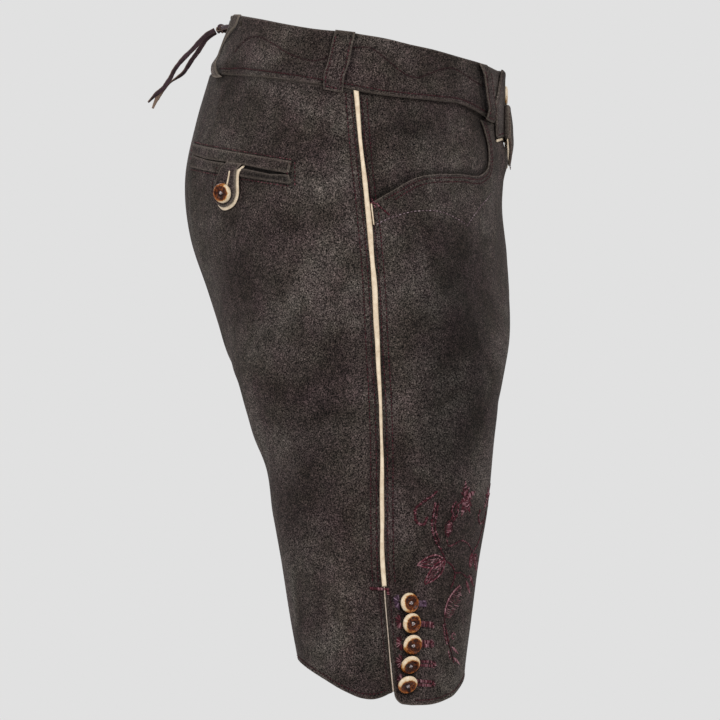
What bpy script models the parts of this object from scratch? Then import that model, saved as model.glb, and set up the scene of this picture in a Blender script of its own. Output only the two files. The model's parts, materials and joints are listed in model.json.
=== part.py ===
"""Short suede lederhosen, filled out as if worn, with nothing inside them.

Metres, +Z up. The front faces -Y, so the wearer's right is -X. The origin is the middle of the waist
opening, halfway up the waistband. Each piece that a maker would cut and sew on is its own solid.

The outer face of the leather is one surface with two real-size coordinates, both in millimetres:
  along  the distance round the body from the side seam, positive to the front, negative to the back
  level  the height at which that line round the body passes beside the hip, 0 at half the waistband
A third one, out, moves a point straight away from that surface. A piece is an outline in
(along, level), filled with a lattice of points, and raised or thickened by its out values.
"""

import math
from collections import namedtuple

import bmesh
import bpy
import numpy as np
from mathutils import Matrix, Vector, geometry

MM = 0.001
RIGHT, LEFT = -1, 1
SIDE_NAMES = {RIGHT: "right", LEFT: "left"}

# ---------------------------------------------------------------- driving sizes, in millimetres
LEATHER = 2.0
SEAM_GAP = 0.3
BAND_TOP = 24.0
PIPING_WIDTH = 4.4
PIPING_END = -411.0
BUTTON_RADIUS = 7.6
BUTTON_THICK = 4.3
LOOP_WIDTH = 15.0
LOOP_GAP = 3.6
LACE_WIDTH = 3.2
CROTCH = -262.0
FORK_START = -165.0

# One row for each line round the body: its height beside the hip, how far it rises for each
# millimetre towards the back, how far it reaches back, forward and sideways from the origin, how far
# the inner leg stands from the middle plane, and where the side seam crosses it, towards the back.
Section = namedtuple("Section", "level tilt back front side inner seam")
SECTIONS = [
    Section(24.0, 0.210, 111.5, 110.0, 158, 0, 10.0),
    Section(-24.4, 0.185, 120.5, 109.8, 165, 0, 8.0),
    Section(-60.0, 0.140, 140.0, 112.0, 174, 0, 4.0),
    Section(-100.0, 0.090, 149.0, 110.5, 181, 0, -1.0),
    Section(-140.0, 0.050, 145.0, 114.0, 186, 0, -4.0),
    Section(-180.0, 0.020, 130.5, 116.0, 190, 0, -7.0),
    Section(-220.0, 0.0, 115.5, 113.5, 192, 0, -9.0),
    Section(-262.0, 0.0, 101.0, 106.5, 193, 0, -10.5),
    Section(-290.0, 0.0, 91.0, 102.5, 194, 5, -11.0),
    Section(-320.0, 0.0, 81.0, 98.6, 195, 10, -11.5),
    Section(-360.0, 0.0, 76.0, 94.2, 196, 17, -12.0),
    Section(-400.0, 0.0, 68.0, 88.2, 197, 24, -13.0),
    Section(-440.0, 0.0, 60.5, 83.0, 198, 30, -16.0),
    Section(-480.0, 0.0, 53.7, 77.8, 199, 36, -19.5),
    Section(-515.0, 0.0, 48.5, 74.5, 200, 41, -23.0),
]
CURVE_SAMPLES = 181


def smooth(at, knots, values):
    """A smooth curve through (knots, values), read at each place in at."""
    knots, values = np.asarray(knots, float), np.asarray(values, float)
    slopes = np.gradient(values, knots)
    i = np.clip(np.searchsorted(knots, at) - 1, 0, len(knots) - 2)
    step = knots[i + 1] - knots[i]
    f = (np.asarray(at, float) - knots[i]) / step
    return (
        values[i] * (1 + 2 * f) * (1 - f) ** 2
        + slopes[i] * step * f * (1 - f) ** 2
        + values[i + 1] * f * f * (3 - 2 * f)
        + slopes[i + 1] * step * f * f * (f - 1)
    )


def soft_step(x):
    """0 below 0, 1 above 1, and a smooth rise between."""
    x = np.clip(x, 0.0, 1.0)
    return x * x * (3 - 2 * x)


def sections_at(level):
    """The section's columns at each level, as a Section of arrays with one column."""
    rows = sorted(SECTIONS)
    knots = [row.level for row in rows]
    read = [smooth(level, knots, [row[i] for row in rows])[:, None] for i in range(len(rows[0]))]
    return Section(*read)


def lines_round(level):
    """Points of the line round half the body at each level, front middle to back middle, and the
    distance of each point from the side seam."""
    cut = sections_at(level)
    t = np.linspace(0, 1, CURVE_SAMPLES)[None, :]
    forked = np.clip((FORK_START - cut.level) / (FORK_START - CROTCH), 0, 1)
    fork = 1 - np.sqrt(1 - forked**2)
    centre = (cut.back - cut.front) / 2
    half_depth = (cut.back + cut.front) / 2
    inner = np.maximum(cut.inner, 0)
    half_width = (cut.side - inner) / 2
    hip_x = cut.side * np.sin(math.pi * t)
    hip_y = centre - half_depth * np.cos(math.pi * t)
    leg_x = inner + half_width * (1 - np.cos(2 * math.pi * t))
    leg_y = centre - half_depth * np.sin(2 * math.pi * t)
    x = (1 - fork) * hip_x + fork * leg_x
    y = (1 - fork) * hip_y + fork * leg_y
    x = inner + (x - inner) * (cut.side - inner) / (x.max(1, keepdims=True) - inner)
    forward = (centre - y.min(1, keepdims=True)) / half_depth
    backward = (y.max(1, keepdims=True) - centre) / half_depth
    y = centre + (y - centre) / np.where(y < centre, forward, backward)
    z = cut.level + cut.tilt * y
    steps = np.sqrt(np.diff(x) ** 2 + np.diff(y) ** 2 + np.diff(z) ** 2)
    travelled = np.concatenate([np.zeros_like(x[:, :1]), np.cumsum(steps, axis=1)], axis=1)
    outer = slice(CURVE_SAMPLES // 3, 2 * CURVE_SAMPLES // 3)
    rows = zip(cut.seam[:, 0], y[:, outer], travelled[:, outer])
    at_seam = [np.interp(seam, row, far) for seam, row, far in rows]
    return x, y, z, np.array(at_seam)[:, None] - travelled


def reach(level):
    """How far the leather reaches from the side seam at each level: (to the front, to the back)."""
    along = lines_round(np.atleast_1d(np.asarray(level, float)))[3]
    return along[:, 0], -along[:, -1]


def on_body(along, level):
    """The body surface's points, in millimetres, on the side where X is positive."""
    x, y, z, distance = lines_round(level)
    points = np.empty((len(along), 3))
    for i, s in enumerate(along):
        order = distance[i, ::-1]
        for k, row in enumerate((x, y, z)):
            points[i, k] = np.interp(s, order, row[i, ::-1])
    return points


def off_body(along, level, out):
    """Points at those coordinates, moved out from the surface, where X is positive."""
    near = 1.0
    to_front, to_back = reach(level)
    along = np.clip(along, -to_back, to_front)
    here = on_body(along, level)
    ahead = on_body(along + near, level) - on_body(along - near, level)
    up = on_body(along, level + near) - on_body(along, level - near)
    normal = np.cross(up, ahead)
    normal /= np.linalg.norm(normal, axis=1, keepdims=True)
    return here + normal * np.reshape(out, (-1, 1))


def place(along, level, out=0.0, side=LEFT):
    """Points of a piece on one side of the body; it stops half a seam gap short of the middle plane."""
    along, level = np.atleast_1d(along).astype(float), np.atleast_1d(level).astype(float)
    points = off_body(along, level, out)
    points[:, 0] = np.maximum(points[:, 0], SEAM_GAP / 2) * side
    return points


def place_across(from_centre, level, out, at_back):
    """Points of a piece that crosses the middle of the back or of the front; from_centre is positive
    on the wearer's left."""
    level = np.asarray(level, float)
    to_front, to_back = reach(level)
    along = np.abs(from_centre) - to_back if at_back else to_front - np.abs(from_centre)
    points = off_body(along, level, out)
    points[:, 0] *= np.sign(np.round(from_centre, 3))
    return points


# ---------------------------------------------------------------- soft folds of the leather

# Each fold is a long low ridge, or a trough where its height is negative: its middle, the way it
# runs in degrees from level towards the front, half its length, half its width, and its height.
Fold = namedtuple("Fold", "along level heading length width height")
FOLDS = [
    Fold(-208, -122, 80, 46, 11, 1.8),
    Fold(-150, -178, 38, 62, 17, 1.5),
    Fold(-96, -232, 28, 70, 18, 1.6),
    Fold(-196, -268, 20, 60, 15, -1.9),
    Fold(-168, -300, 14, 74, 17, 1.7),
    Fold(-72, -350, 62, 64, 18, 1.4),
    Fold(-148, -398, 74, 76, 20, -1.6),
    Fold(-36, -446, 82, 52, 13, 1.2),
    Fold(124, -104, 34, 44, 13, 1.7),
    Fold(62, -196, -34, 66, 19, 1.4),
    Fold(176, -214, 24, 60, 17, 1.6),
    Fold(226, -268, 36, 54, 14, -1.8),
    Fold(120, -318, -66, 74, 19, 1.5),
    Fold(190, -388, 78, 78, 20, -1.6),
    Fold(82, -452, 66, 50, 16, 1.2),
]
FOLDS_START = -34.0
FOLDS_FULL = -70.0


def folds(along, level):
    """How far the folds push the leather out at each point."""
    along, level = np.asarray(along, float), np.asarray(level, float)
    height = np.zeros_like(along * level)
    for fold in FOLDS:
        heading = math.radians(fold.heading)
        over, up = along - fold.along, level - fold.level
        lengthways = over * math.cos(heading) + up * math.sin(heading)
        crossways = up * math.cos(heading) - over * math.sin(heading)
        shape = np.exp(-((crossways / fold.width) ** 2) - (lengthways / fold.length) ** 2)
        height = height + fold.height * shape
    return height * soft_step((FOLDS_START - level) / (FOLDS_START - FOLDS_FULL))


# ---------------------------------------------------------------- making solids

# Lattice spacings of a piece, along the body and down it.
PANEL_MESH = (16.0, 24.0)
BAND_MESH = (14.0, 16.0)
TRIM_MESH = (6.0, 20.0)
SMALL_MESH = (6.0, 8.0)


def finish_of(name, colour, roughness, metallic=0.0):
    """A plain material: colour is sRGB hex."""
    channels = [int(colour[i : i + 2], 16) / 255 for i in (0, 2, 4)]
    linear = [c / 12.92 if c <= 0.04045 else ((c + 0.055) / 1.055) ** 2.4 for c in channels]
    material = bpy.data.materials.new(name)
    material.use_nodes = True
    shader = material.node_tree.nodes["Principled BSDF"]
    shader.inputs["Base Color"].default_value = (*linear, 1.0)
    shader.inputs["Roughness"].default_value = roughness
    shader.inputs["Metallic"].default_value = metallic
    material.diffuse_color = (*linear, 1.0)
    return material


def add_object(name, bm, material, smooth_angle=40):
    """Turn a closed bmesh into a named object, with its faces pointing out."""
    bmesh.ops.recalc_face_normals(bm, faces=bm.faces)
    if bm.calc_volume(signed=True) < 0:
        bmesh.ops.reverse_faces(bm, faces=bm.faces)
    mesh = bpy.data.meshes.new(name)
    bm.to_mesh(mesh)
    bm.free()
    mesh.shade_smooth()
    mesh.set_sharp_from_angle(angle=math.radians(smooth_angle))
    mesh.materials.append(material)
    made = bpy.data.objects.new(name, mesh)
    bpy.context.scene.collection.objects.link(made)
    return made


def subdivided(outline, spacing):
    """The outline with its long sides cut into steps no longer than the spacing."""
    points = []
    for start, end in zip(outline, outline[1:] + outline[:1]):
        steps = max(1, math.ceil(math.hypot(*((e - s) / w for s, e, w in zip(start, end, spacing)))))
        for i in range(steps):
            points.append([s + (e - s) * i / steps for s, e in zip(start, end)])
    return np.array(points)


def lattice_inside(edge, spacing, margin=0.55):
    """Staggered points inside an outline, clear of its edge by the margin times the spacing."""
    scaled = edge / spacing
    low, high = scaled.min(0), scaled.max(0)
    columns = np.arange(low[0], high[0] + 1, 1.0)
    found = []
    for row, level in enumerate(np.arange(low[1] + 0.43, high[1], 0.87)):
        found += [(column + 0.5 * (row % 2), level) for column in columns]
    found = np.array(found).reshape(-1, 2)
    start, end = scaled, np.roll(scaled, -1, axis=0)
    crossings = np.zeros(len(found), bool)
    nearest = np.full(len(found), np.inf)
    for a, b in zip(start, end):
        spans = (a[1] > found[:, 1]) != (b[1] > found[:, 1])
        rise = b[1] - a[1] if b[1] != a[1] else 1e-12
        crossings ^= spans & (found[:, 0] < a[0] + (b[0] - a[0]) * (found[:, 1] - a[1]) / rise)
        side = b - a
        part = np.clip(((found - a) @ side) / max(side @ side, 1e-12), 0, 1)
        nearest = np.minimum(nearest, np.linalg.norm(found - a - part[:, None] * side, axis=1))
    return found[crossings & (nearest > margin)] * spacing


def add_piece(name, outline, material, place_points, out, thick=LEATHER, spacing=PANEL_MESH, extra=()):
    """A sheet with the given outline. place_points turns (along, level, out) into points; out, the
    height of the sheet's outer face, and thick are numbers or functions of (along, level). The
    extra points refine the lattice where the body turns sharply."""
    edge = subdivided(outline, spacing)
    inner = lattice_inside(edge, spacing)
    for point in extra:
        inner = inner[np.linalg.norm((inner - point) / spacing, axis=1) > 0.5]
    flat = np.vstack([edge, inner, np.reshape(extra, (-1, 2))])
    scaled = [Vector(p) for p in flat / spacing]
    ring = list(range(len(edge)))
    found = geometry.delaunay_2d_cdt(scaled, [], [ring], 1, 1e-5)
    points = np.array([tuple(v) for v in found[0]]) * spacing
    along, level = points[:, 0], points[:, 1]
    rise = out(along, level) if callable(out) else np.full(len(along), float(out))
    depth = thick(along, level) if callable(thick) else thick
    bm = bmesh.new()
    outer = [bm.verts.new(p) for p in place_points(along, level, rise) * MM]
    under = [bm.verts.new(p) for p in place_points(along, level, rise - depth) * MM]
    for face in found[2]:
        bm.faces.new([outer[i] for i in face])
        bm.faces.new([under[i] for i in reversed(face)])
    for edge_of_sheet in [e for e in bm.edges if e.is_boundary and e.verts[0] in set(outer)]:
        i, j = (outer.index(v) for v in edge_of_sheet.verts)
        bm.faces.new([outer[i], outer[j], under[j], under[i]])
    bmesh.ops.triangulate(bm, faces=bm.faces)
    return add_object(name, bm, material)


def on_side(side):
    """The placing function of a piece on one side."""
    return lambda along, level, out: place(along, level, out, side)


def across_back(from_centre, level, out):
    return place_across(from_centre, level, out, at_back=True)


def across_front(from_centre, level, out):
    return place_across(from_centre, level, out, at_back=False)


def raised(height):
    """A face that stays the height above the leather and its folds."""
    return lambda along, level: folds(along, level) + height


def strip(start, end, width):
    """The outline of a straight strip between two points."""
    (x0, y0), (x1, y1) = start, end
    length = math.hypot(x1 - x0, y1 - y0)
    over, up = -(y1 - y0) / length * width / 2, (x1 - x0) / length * width / 2
    return [(x0 - over, y0 - up), (x1 - over, y1 - up), (x1 + over, y1 + up), (x0 + over, y0 + up)]


def curve_through(knots, steps=4):
    """Points of a smooth curve through the knots, both ends included."""
    knots = np.array(knots, float)
    place_on = np.concatenate([[0], np.cumsum(np.linalg.norm(np.diff(knots, axis=0), axis=1))])
    at = np.concatenate([
        np.linspace(a, b, steps, endpoint=False) for a, b in zip(place_on, place_on[1:])
    ] + [place_on[-1:]])
    return [tuple(p) for p in np.stack([smooth(at, place_on, column) for column in knots.T], axis=1)]


def arc(centre, radius, start, end, steps=5):
    """Points of a round corner, angles in degrees."""
    angles = [math.radians(start + (end - start) * i / steps) for i in range(steps + 1)]
    return [(centre[0] + radius * math.cos(a), centre[1] + radius * math.sin(a)) for a in angles]


# ---------------------------------------------------------------- edges that pieces share

PANEL_TOP = -24.7
BAND_BOTTOM = -24.4
POCKET_EDGE = curve_through([
    (SEAM_GAP / 2, -112.5), (18, -101), (43, -87), (90, -78.5),
    (134, -74), (146, -67), (150, -50), (143, -34), (135, PANEL_TOP),
], steps=3)
BACK_HEM = curve_through([(-230, -476), (-160, -474), (-103, -475), (-62, -485), (-38, -492.5), (-14, -497)])
FRONT_HEM = curve_through([(14, -504), (34, -504), (58, -500), (88, -491), (130, -483), (212, -477)])
CENTRE_STEPS = 13
INSEAM_STEPS = 14
INSEAM_END = -475.0


def centre_and_inseam(at_back):
    """The panel's edge from the waist down the middle of the body, then down the inner leg. The
    points crowd together towards the crotch, where the edge turns sharply."""
    spread = [(1 - i / CENTRE_STEPS) ** 2 for i in range(CENTRE_STEPS + 1)]
    levels = [CROTCH + (PANEL_TOP - CROTCH) * s for s in spread]
    levels += [
        CROTCH + (INSEAM_END - CROTCH) * (i / INSEAM_STEPS) ** 1.3 for i in range(1, INSEAM_STEPS + 1)
    ]
    to_front, to_back = reach(np.array(levels))
    sewn = [0.7 * SEAM_GAP if level < CROTCH + 1 else 0 for level in levels]
    if at_back:
        return [(-far + gap, level) for far, gap, level in zip(to_back, sewn, levels)]
    return [(far - gap, level) for far, gap, level in zip(to_front, sewn, levels)]


FORK_INSETS = (7.0, 16.0, 28.0, 42.0)


def fork_points(inner_edge):
    """More lattice points beside the crotch, at the levels of the panel's own edge points."""
    sign = math.copysign(1, inner_edge[0][0])
    rows = inner_edge[CENTRE_STEPS - 4 : CENTRE_STEPS + 3]
    return [(along - sign * inset, level) for along, level in rows for inset in FORK_INSETS]


def within(points, edge_points):
    """Keep the hem points that stop short of the inner leg."""
    limit = abs(edge_points[-1][0]) - 8
    return [p for p in points if abs(p[0]) < limit]


# ---------------------------------------------------------------- the pieces

def add_back(side, suede):
    """Back panel: from the waistband down to the hem, cut in one with the leg."""
    inner_edge = centre_and_inseam(at_back=True)
    hem = within(BACK_HEM, inner_edge)
    corner = arc((-8.2, -489), 8, -110, 0)
    outline = [(-SEAM_GAP / 2, PANEL_TOP)] + inner_edge + hem + corner
    fork = fork_points(inner_edge)
    add_piece(f"back_{SIDE_NAMES[side]}", outline, suede, on_side(side), folds, extra=fork)


def add_front(side, suede):
    """Front panel, cut away under the pocket's mouth."""
    inner_edge = centre_and_inseam(at_back=False)
    hem = within(FRONT_HEM, inner_edge)
    corner = list(reversed(arc((9.2, -494.5), 9, 180, 250)))
    outline = inner_edge + hem[::-1] + corner + POCKET_EDGE
    fork = fork_points(inner_edge)
    add_piece(f"front_{SIDE_NAMES[side]}", outline, suede, on_side(side), folds, extra=fork)


FACING_GAP = 1.0
FACING_OUTLINE = [
    (SEAM_GAP, PANEL_TOP), (163, PANEL_TOP), (168, -60), (160, -92),
    (120, -108), (60, -122), (SEAM_GAP, -136),
]


def add_pocket_facing(side, suede):
    """The piece that shows in the pocket's mouth and runs on behind its edge."""
    under = raised(-LEATHER - FACING_GAP)
    add_piece(f"pocket_facing_{SIDE_NAMES[side]}", FACING_OUTLINE, suede, on_side(side), under)


BAND_OUT = 1.0
BAND_THICK = 3.0
BAND_BACK_END = [
    (-124, BAND_TOP), (-150, 9.5), (-172, -6.5), (-186, -15), (-187.5, -21), (-180, -26.5), (-168, -27.6),
]
BAND_FRONT_END = [(172, BAND_BOTTOM), (180, 0), (198, BAND_TOP)]
CORNER_START = -153.0


def add_waistband(side, suede):
    """Waistband: doubled leather, its back end cut on a slant with a round lower corner."""
    end = curve_through(BAND_BACK_END, steps=2) + [(CORNER_START, BAND_BOTTOM)]
    outline = end + BAND_FRONT_END

    def out(along, level):
        """The loose lower corner stands clear of the back panel under it."""
        lift = soft_step((-level - 10) / 10) * soft_step((CORNER_START + 12 - along) / 10)
        return BAND_OUT + 2.6 * lift

    add_piece(f"waistband_{SIDE_NAMES[side]}", outline, suede, on_side(side), out, BAND_THICK, BAND_MESH)


GUSSET_OUT = -3.8
GUSSET_HALF = 92.0


def add_gusset(suede):
    """The wedge of leather behind the gap at the back of the waistband."""
    outline = [
        (-GUSSET_HALF, BAND_TOP - 1), (-GUSSET_HALF, -14), (-66, -34), (0, -44),
        (66, -34), (GUSSET_HALF, -14), (GUSSET_HALF, BAND_TOP - 1), (0, BAND_TOP + 1.5),
    ]
    add_piece("back_gusset", outline, suede, across_back, GUSSET_OUT, LEATHER, BAND_MESH)


PLACKET_BOTTOM = -38.5
PLACKET_HALF_TOP, PLACKET_HALF_BOTTOM = 37.0, 60.0


def placket_out(from_centre, level):
    """The placket lies on the waistband, then steps down onto the front panels."""
    on_band = BAND_OUT + SEAM_GAP + LEATHER
    on_front = SEAM_GAP + LEATHER
    down = soft_step((-20 - np.asarray(level, float)) / 12)
    return on_band + 0.2 + (on_front - on_band + 0.6) * down + 0 * from_centre


def add_placket(suede, cream):
    """The wide buttoned front piece, with cream piping under its lower edge."""
    outline = [
        (-PLACKET_HALF_TOP, BAND_TOP), (PLACKET_HALF_TOP, BAND_TOP),
        (PLACKET_HALF_BOTTOM, -6), (PLACKET_HALF_BOTTOM, PLACKET_BOTTOM),
        (-PLACKET_HALF_BOTTOM, PLACKET_BOTTOM), (-PLACKET_HALF_BOTTOM, -6),
    ]
    add_piece("front_placket", outline, suede, across_front, placket_out, LEATHER, BAND_MESH)
    half = PLACKET_HALF_BOTTOM - 2
    top, bottom = PLACKET_BOTTOM - SEAM_GAP, PLACKET_BOTTOM - 3.2
    piping = [(-half, top), (half, top), (half, bottom), (-half, bottom)]
    add_piece("placket_piping", piping, cream, across_front, 2.0, 1.6, BAND_MESH)


TAB_EDGE = [(24, -5), (30, -22), (31, -38), (19, -50), (7, -58), (0, -60)]
TAB_PIPING = 2.2
TAB_BACKING_THICK = 1.2
TAB_BULGE = 3.0
TAB_MIDDLE = -33.0
TAB_HALF_LENGTH = 27.0


def mirrored(half_outline):
    """A closed outline from its right half, listed from the top to the middle of the bottom."""
    return [(-x, y) for x, y in half_outline] + [(x, y) for x, y in half_outline[:-1]][::-1]


def add_front_tab(suede, cream):
    """The rounded tab buttoned over the placket, and the cream layer that edges it."""
    edge = curve_through(TAB_EDGE, steps=2)

    def bulge(from_centre, level):
        lengthways = np.clip(1 - ((level - TAB_MIDDLE) / TAB_HALF_LENGTH) ** 2, 0, 1)
        return TAB_BULGE * lengthways * np.cos(from_centre / PLACKET_HALF_TOP)

    def backing_out(from_centre, level):
        seat = placket_out(from_centre, np.maximum(level, PLACKET_BOTTOM)) + SEAM_GAP
        return seat + TAB_BACKING_THICK + bulge(from_centre, level)

    def tab_out(from_centre, level):
        return backing_out(from_centre, level) + SEAM_GAP + LEATHER

    backing = [(x + TAB_PIPING if x > 4 else x, y - (TAB_PIPING if y < -38 else 0)) for x, y in edge]
    backing[0] = (edge[0][0], edge[0][1] - 2)
    add_piece("front_tab", mirrored(edge), suede, across_front, tab_out, LEATHER, SMALL_MESH)
    add_piece(
        "front_tab_backing", mirrored(backing), cream, across_front, backing_out,
        TAB_BACKING_THICK, SMALL_MESH,
    )


# Each belt loop's middle at its top and at its bottom.
BELT_LOOPS = {"side": ((-7.5, 22.0), (-19.5, -24.0)), "front": ((132.0, 22.0), (147.0, -22.5))}


def add_belt_loops(side, suede):
    """Belt loops: sewn down at both ends, with room for a thin belt's edge between."""
    for where, (top, bottom) in BELT_LOOPS.items():
        on_band = BAND_OUT + SEAM_GAP + LEATHER

        def out(along, level, top=top, bottom=bottom):
            part = np.clip((level - bottom[1]) / (top[1] - bottom[1]), 0, 1)
            return on_band + 0.1 + LOOP_GAP * np.clip(6 * part * (1 - part), 0, 1)

        outline = strip(top, bottom, LOOP_WIDTH)
        add_piece(
            f"belt_loop_{where}_{SIDE_NAMES[side]}", outline, suede, on_side(side), out, LEATHER, (7.5, 4.6)
        )


PIPING_OUT = 1.7


def add_side_piping(side, cream):
    """Cream piping over the side seam."""
    outline = strip((0, PANEL_TOP), (0, PIPING_END), PIPING_WIDTH)
    add_piece(
        f"side_piping_{SIDE_NAMES[side]}", outline, cream, on_side(side), raised(PIPING_OUT),
        PIPING_OUT - SEAM_GAP, (PIPING_WIDTH, 20.0),
    )


SLIT_PIPING_WIDTH = 1.9
SLIT_PIPING_OUT = 1.5


def add_slit_piping(side, cream):
    """The thin cream edge of the front panel along the leg's slit."""
    outline = strip((-0.6, PIPING_END - SEAM_GAP), (-0.6, -490), SLIT_PIPING_WIDTH)
    add_piece(
        f"slit_piping_{SIDE_NAMES[side]}", outline, cream, on_side(side), raised(SLIT_PIPING_OUT),
        SLIT_PIPING_OUT - SEAM_GAP, (SLIT_PIPING_WIDTH, 20.0),
    )


# The back pocket's slanting lines, at its end near the seat and its end near the side seam.
POCKET_LINES = {"top": ((-210, -76), (-60, -85)), "mouth": ((-207, -84.5), (-62, -92.5)),
                "bottom": ((-205, -92.5), (-62, -101.5))}
WELT_OUT = 1.7
MOUTH_GAP = 0.5


def add_back_pocket(suede, cream):
    """Back pocket on the wearer's right: two welts, and a tab from its mouth on a cream layer."""
    top, mouth, bottom = (POCKET_LINES[line] for line in ("top", "mouth", "bottom"))
    lips = {"upper": (*top, mouth[1], mouth[0]),
            "lower": ((mouth[0][0], mouth[0][1] - MOUTH_GAP), (mouth[1][0], mouth[1][1] - MOUTH_GAP),
                      bottom[1], bottom[0])}
    for lip, outline in lips.items():
        add_piece(
            f"pocket_welt_{lip}", list(outline), suede, on_side(RIGHT), raised(WELT_OUT),
            WELT_OUT - SEAM_GAP, (16.0, 10.0),
        )


TAB_TOP, TAB_END = (-127.0, -89.9), (-137.5, -111.0)
TAB_HALF = 11.0
TAB_LAYER = 1.2


def tab_outline(half, run):
    """A strip that ends in a half circle."""
    (x0, y0), (x1, y1) = TAB_TOP, TAB_END
    length = math.hypot(x1 - x0, y1 - y0)
    down = ((x1 - x0) / length, (y1 - y0) / length)
    over = (-down[1], down[0])
    start = math.degrees(math.atan2(over[1], over[0]))
    end = (x1 + down[0] * run, y1 + down[1] * run)
    return [(x0 + over[0] * half, y0 + over[1] * half)] + arc(end, half, start, start - 180, 8) + [
        (x0 - over[0] * half, y0 - over[1] * half)
    ]


def tab_base(along, level):
    """The tab lies on the lower welt, and settles towards the panel below it."""
    settle = soft_step((-102 - np.asarray(level, float)) / 16)
    return folds(along, level) + WELT_OUT + SEAM_GAP - 1.2 * settle


def add_pocket_tab(suede, cream, horn):
    """The pocket's tab, its cream layer, and the horn button on it."""
    add_piece(
        "pocket_tab_backing", tab_outline(TAB_HALF + 1.8, 0), cream, on_side(RIGHT),
        lambda along, level: tab_base(along, level) + TAB_LAYER, TAB_LAYER, SMALL_MESH,
    )
    tab_thick = 1.6
    tab_face = TAB_LAYER + SEAM_GAP + tab_thick
    add_piece(
        "pocket_tab", tab_outline(TAB_HALF, 0), suede, on_side(RIGHT),
        lambda along, level: tab_base(along, level) + tab_face, tab_thick, SMALL_MESH,
    )
    seat = float(tab_base(TAB_END[0], TAB_END[1])) + tab_face
    add_button("pocket_button", TAB_END, seat, on_side(RIGHT), (12, 8), horn)


def add_knife_pocket_edge(cream):
    """The cream edge of the narrow knife pocket beside the right side piping."""
    outline = strip((PIPING_WIDTH / 2 + 1.6, -114), (PIPING_WIDTH / 2 + 1.6, -131), 2.0)
    add_piece("knife_pocket_edge", outline, cream, on_side(RIGHT), raised(1.4), 1.1, (2.0, 9.0))


# Half of a button's section: radius as a share of the button's, height as a share of its thickness.
BUTTON_PROFILE = [
    (0.0, 0.0), (0.72, 0.0), (0.96, 0.22), (1.0, 0.6), (0.9, 1.0), (0.74, 0.98), (0.42, 0.72), (0.0, 0.66),
]
BUTTON_SIDES = 16


def button_mesh(radius):
    """A turned button with a dished face."""
    bm = bmesh.new()
    rings = []
    for share, height in BUTTON_PROFILE:
        z = height * BUTTON_THICK * MM
        if share == 0:
            rings.append([bm.verts.new((0, 0, z))])
            continue
        turns = [2 * math.pi * i / BUTTON_SIDES for i in range(BUTTON_SIDES)]
        r = radius * share * MM
        rings.append([bm.verts.new((r * math.cos(a), r * math.sin(a), z)) for a in turns])
    for low, high in zip(rings, rings[1:]):
        for i in range(BUTTON_SIDES):
            j = (i + 1) % BUTTON_SIDES
            corners = [low[i % len(low)], low[j % len(low)], high[j % len(high)], high[i % len(high)]]
            bm.faces.new(list(dict.fromkeys(corners)))
    return bm


def add_button(name, centre, seat, place_points, tilt, horn, radius=BUTTON_RADIUS):
    """A button over a point of the leather, its underside clear of the face at height seat. tilt is
    how far its face turns along the body and down, in degrees."""
    along, level = centre
    here, out_point, ahead, up = place_points(
        np.array([along, along, along + 1, along]), np.array([level, level, level, level + 1]),
        np.array([seat, seat + 1, seat, seat]),
    )
    normal = Vector(out_point - here).normalized()
    forward = Vector(ahead - here).normalized()
    upward = Vector(up - here).normalized()
    ahead_turn, down_turn = (math.radians(a) for a in tilt)
    facing = (normal + forward * math.tan(ahead_turn) - upward * math.tan(down_turn)).normalized()
    lean = math.acos(min(1.0, facing.dot(normal)))
    clear = SEAM_GAP + max(
        share * radius * math.sin(lean) - height * BUTTON_THICK * math.cos(lean)
        for share, height in BUTTON_PROFILE
    )
    across = facing.cross(upward).normalized()
    over = facing.cross(across)
    turn = Matrix((across, over, facing)).transposed().to_4x4()
    middle = (Vector(here) + normal * clear) * MM
    bm = button_mesh(radius)
    bmesh.ops.transform(bm, matrix=Matrix.Translation(middle) @ turn, verts=bm.verts)
    bmesh.ops.triangulate(bm, faces=bm.faces)
    add_object(name, bm, horn)


# The five leg buttons from the top: their places, how far each leans to the front and down in
# degrees, and the height of its seat over the leather at its middle.
LegButton = namedtuple("LegButton", "along level to_front down seat")
LEG_BUTTONS = [
    LegButton(19.0, -424.0, 22, -5, 0.2), LegButton(20.5, -440.0, 18, 6, 0.2),
    LegButton(19.5, -456.0, 9, 12, 0.1), LegButton(15.5, -472.0, 8, 24, -0.7),
    LegButton(12.5, -487.5, 5, 28, -0.4),
]


def add_leg_buttons(side, horn):
    for number, button in enumerate(LEG_BUTTONS, 1):
        centre = (button.along, button.level)
        seat = float(folds(*centre)) + button.seat
        tilt = (button.to_front, button.down)
        add_button(f"leg_button_{SIDE_NAMES[side]}_{number}", centre, seat, on_side(side), tilt, horn)


WAIST_BUTTON_LEVEL = 4.5
WAIST_BUTTON_RADIUS = 7.4


def add_waist_button(horn):
    """The button in the middle of the placket, at the top of the tab."""
    seat = float(placket_out(0, WAIST_BUTTON_LEVEL)) + 0.2
    centre = (0.0, WAIST_BUTTON_LEVEL)
    add_button("waist_button", centre, seat, across_front, (0, 0), horn, WAIST_BUTTON_RADIUS)


# ---------------------------------------------------------------- the lace at the back

KNOT = Vector((0.0, 119.8, 37.0))
KNOT_SIZE = Vector((5.2, 4.8, 4.4))
KNOT_LEVEL = 12.5
LACE_THICK = 1.2
HOLE = (-131.0, 15.5)
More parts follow.
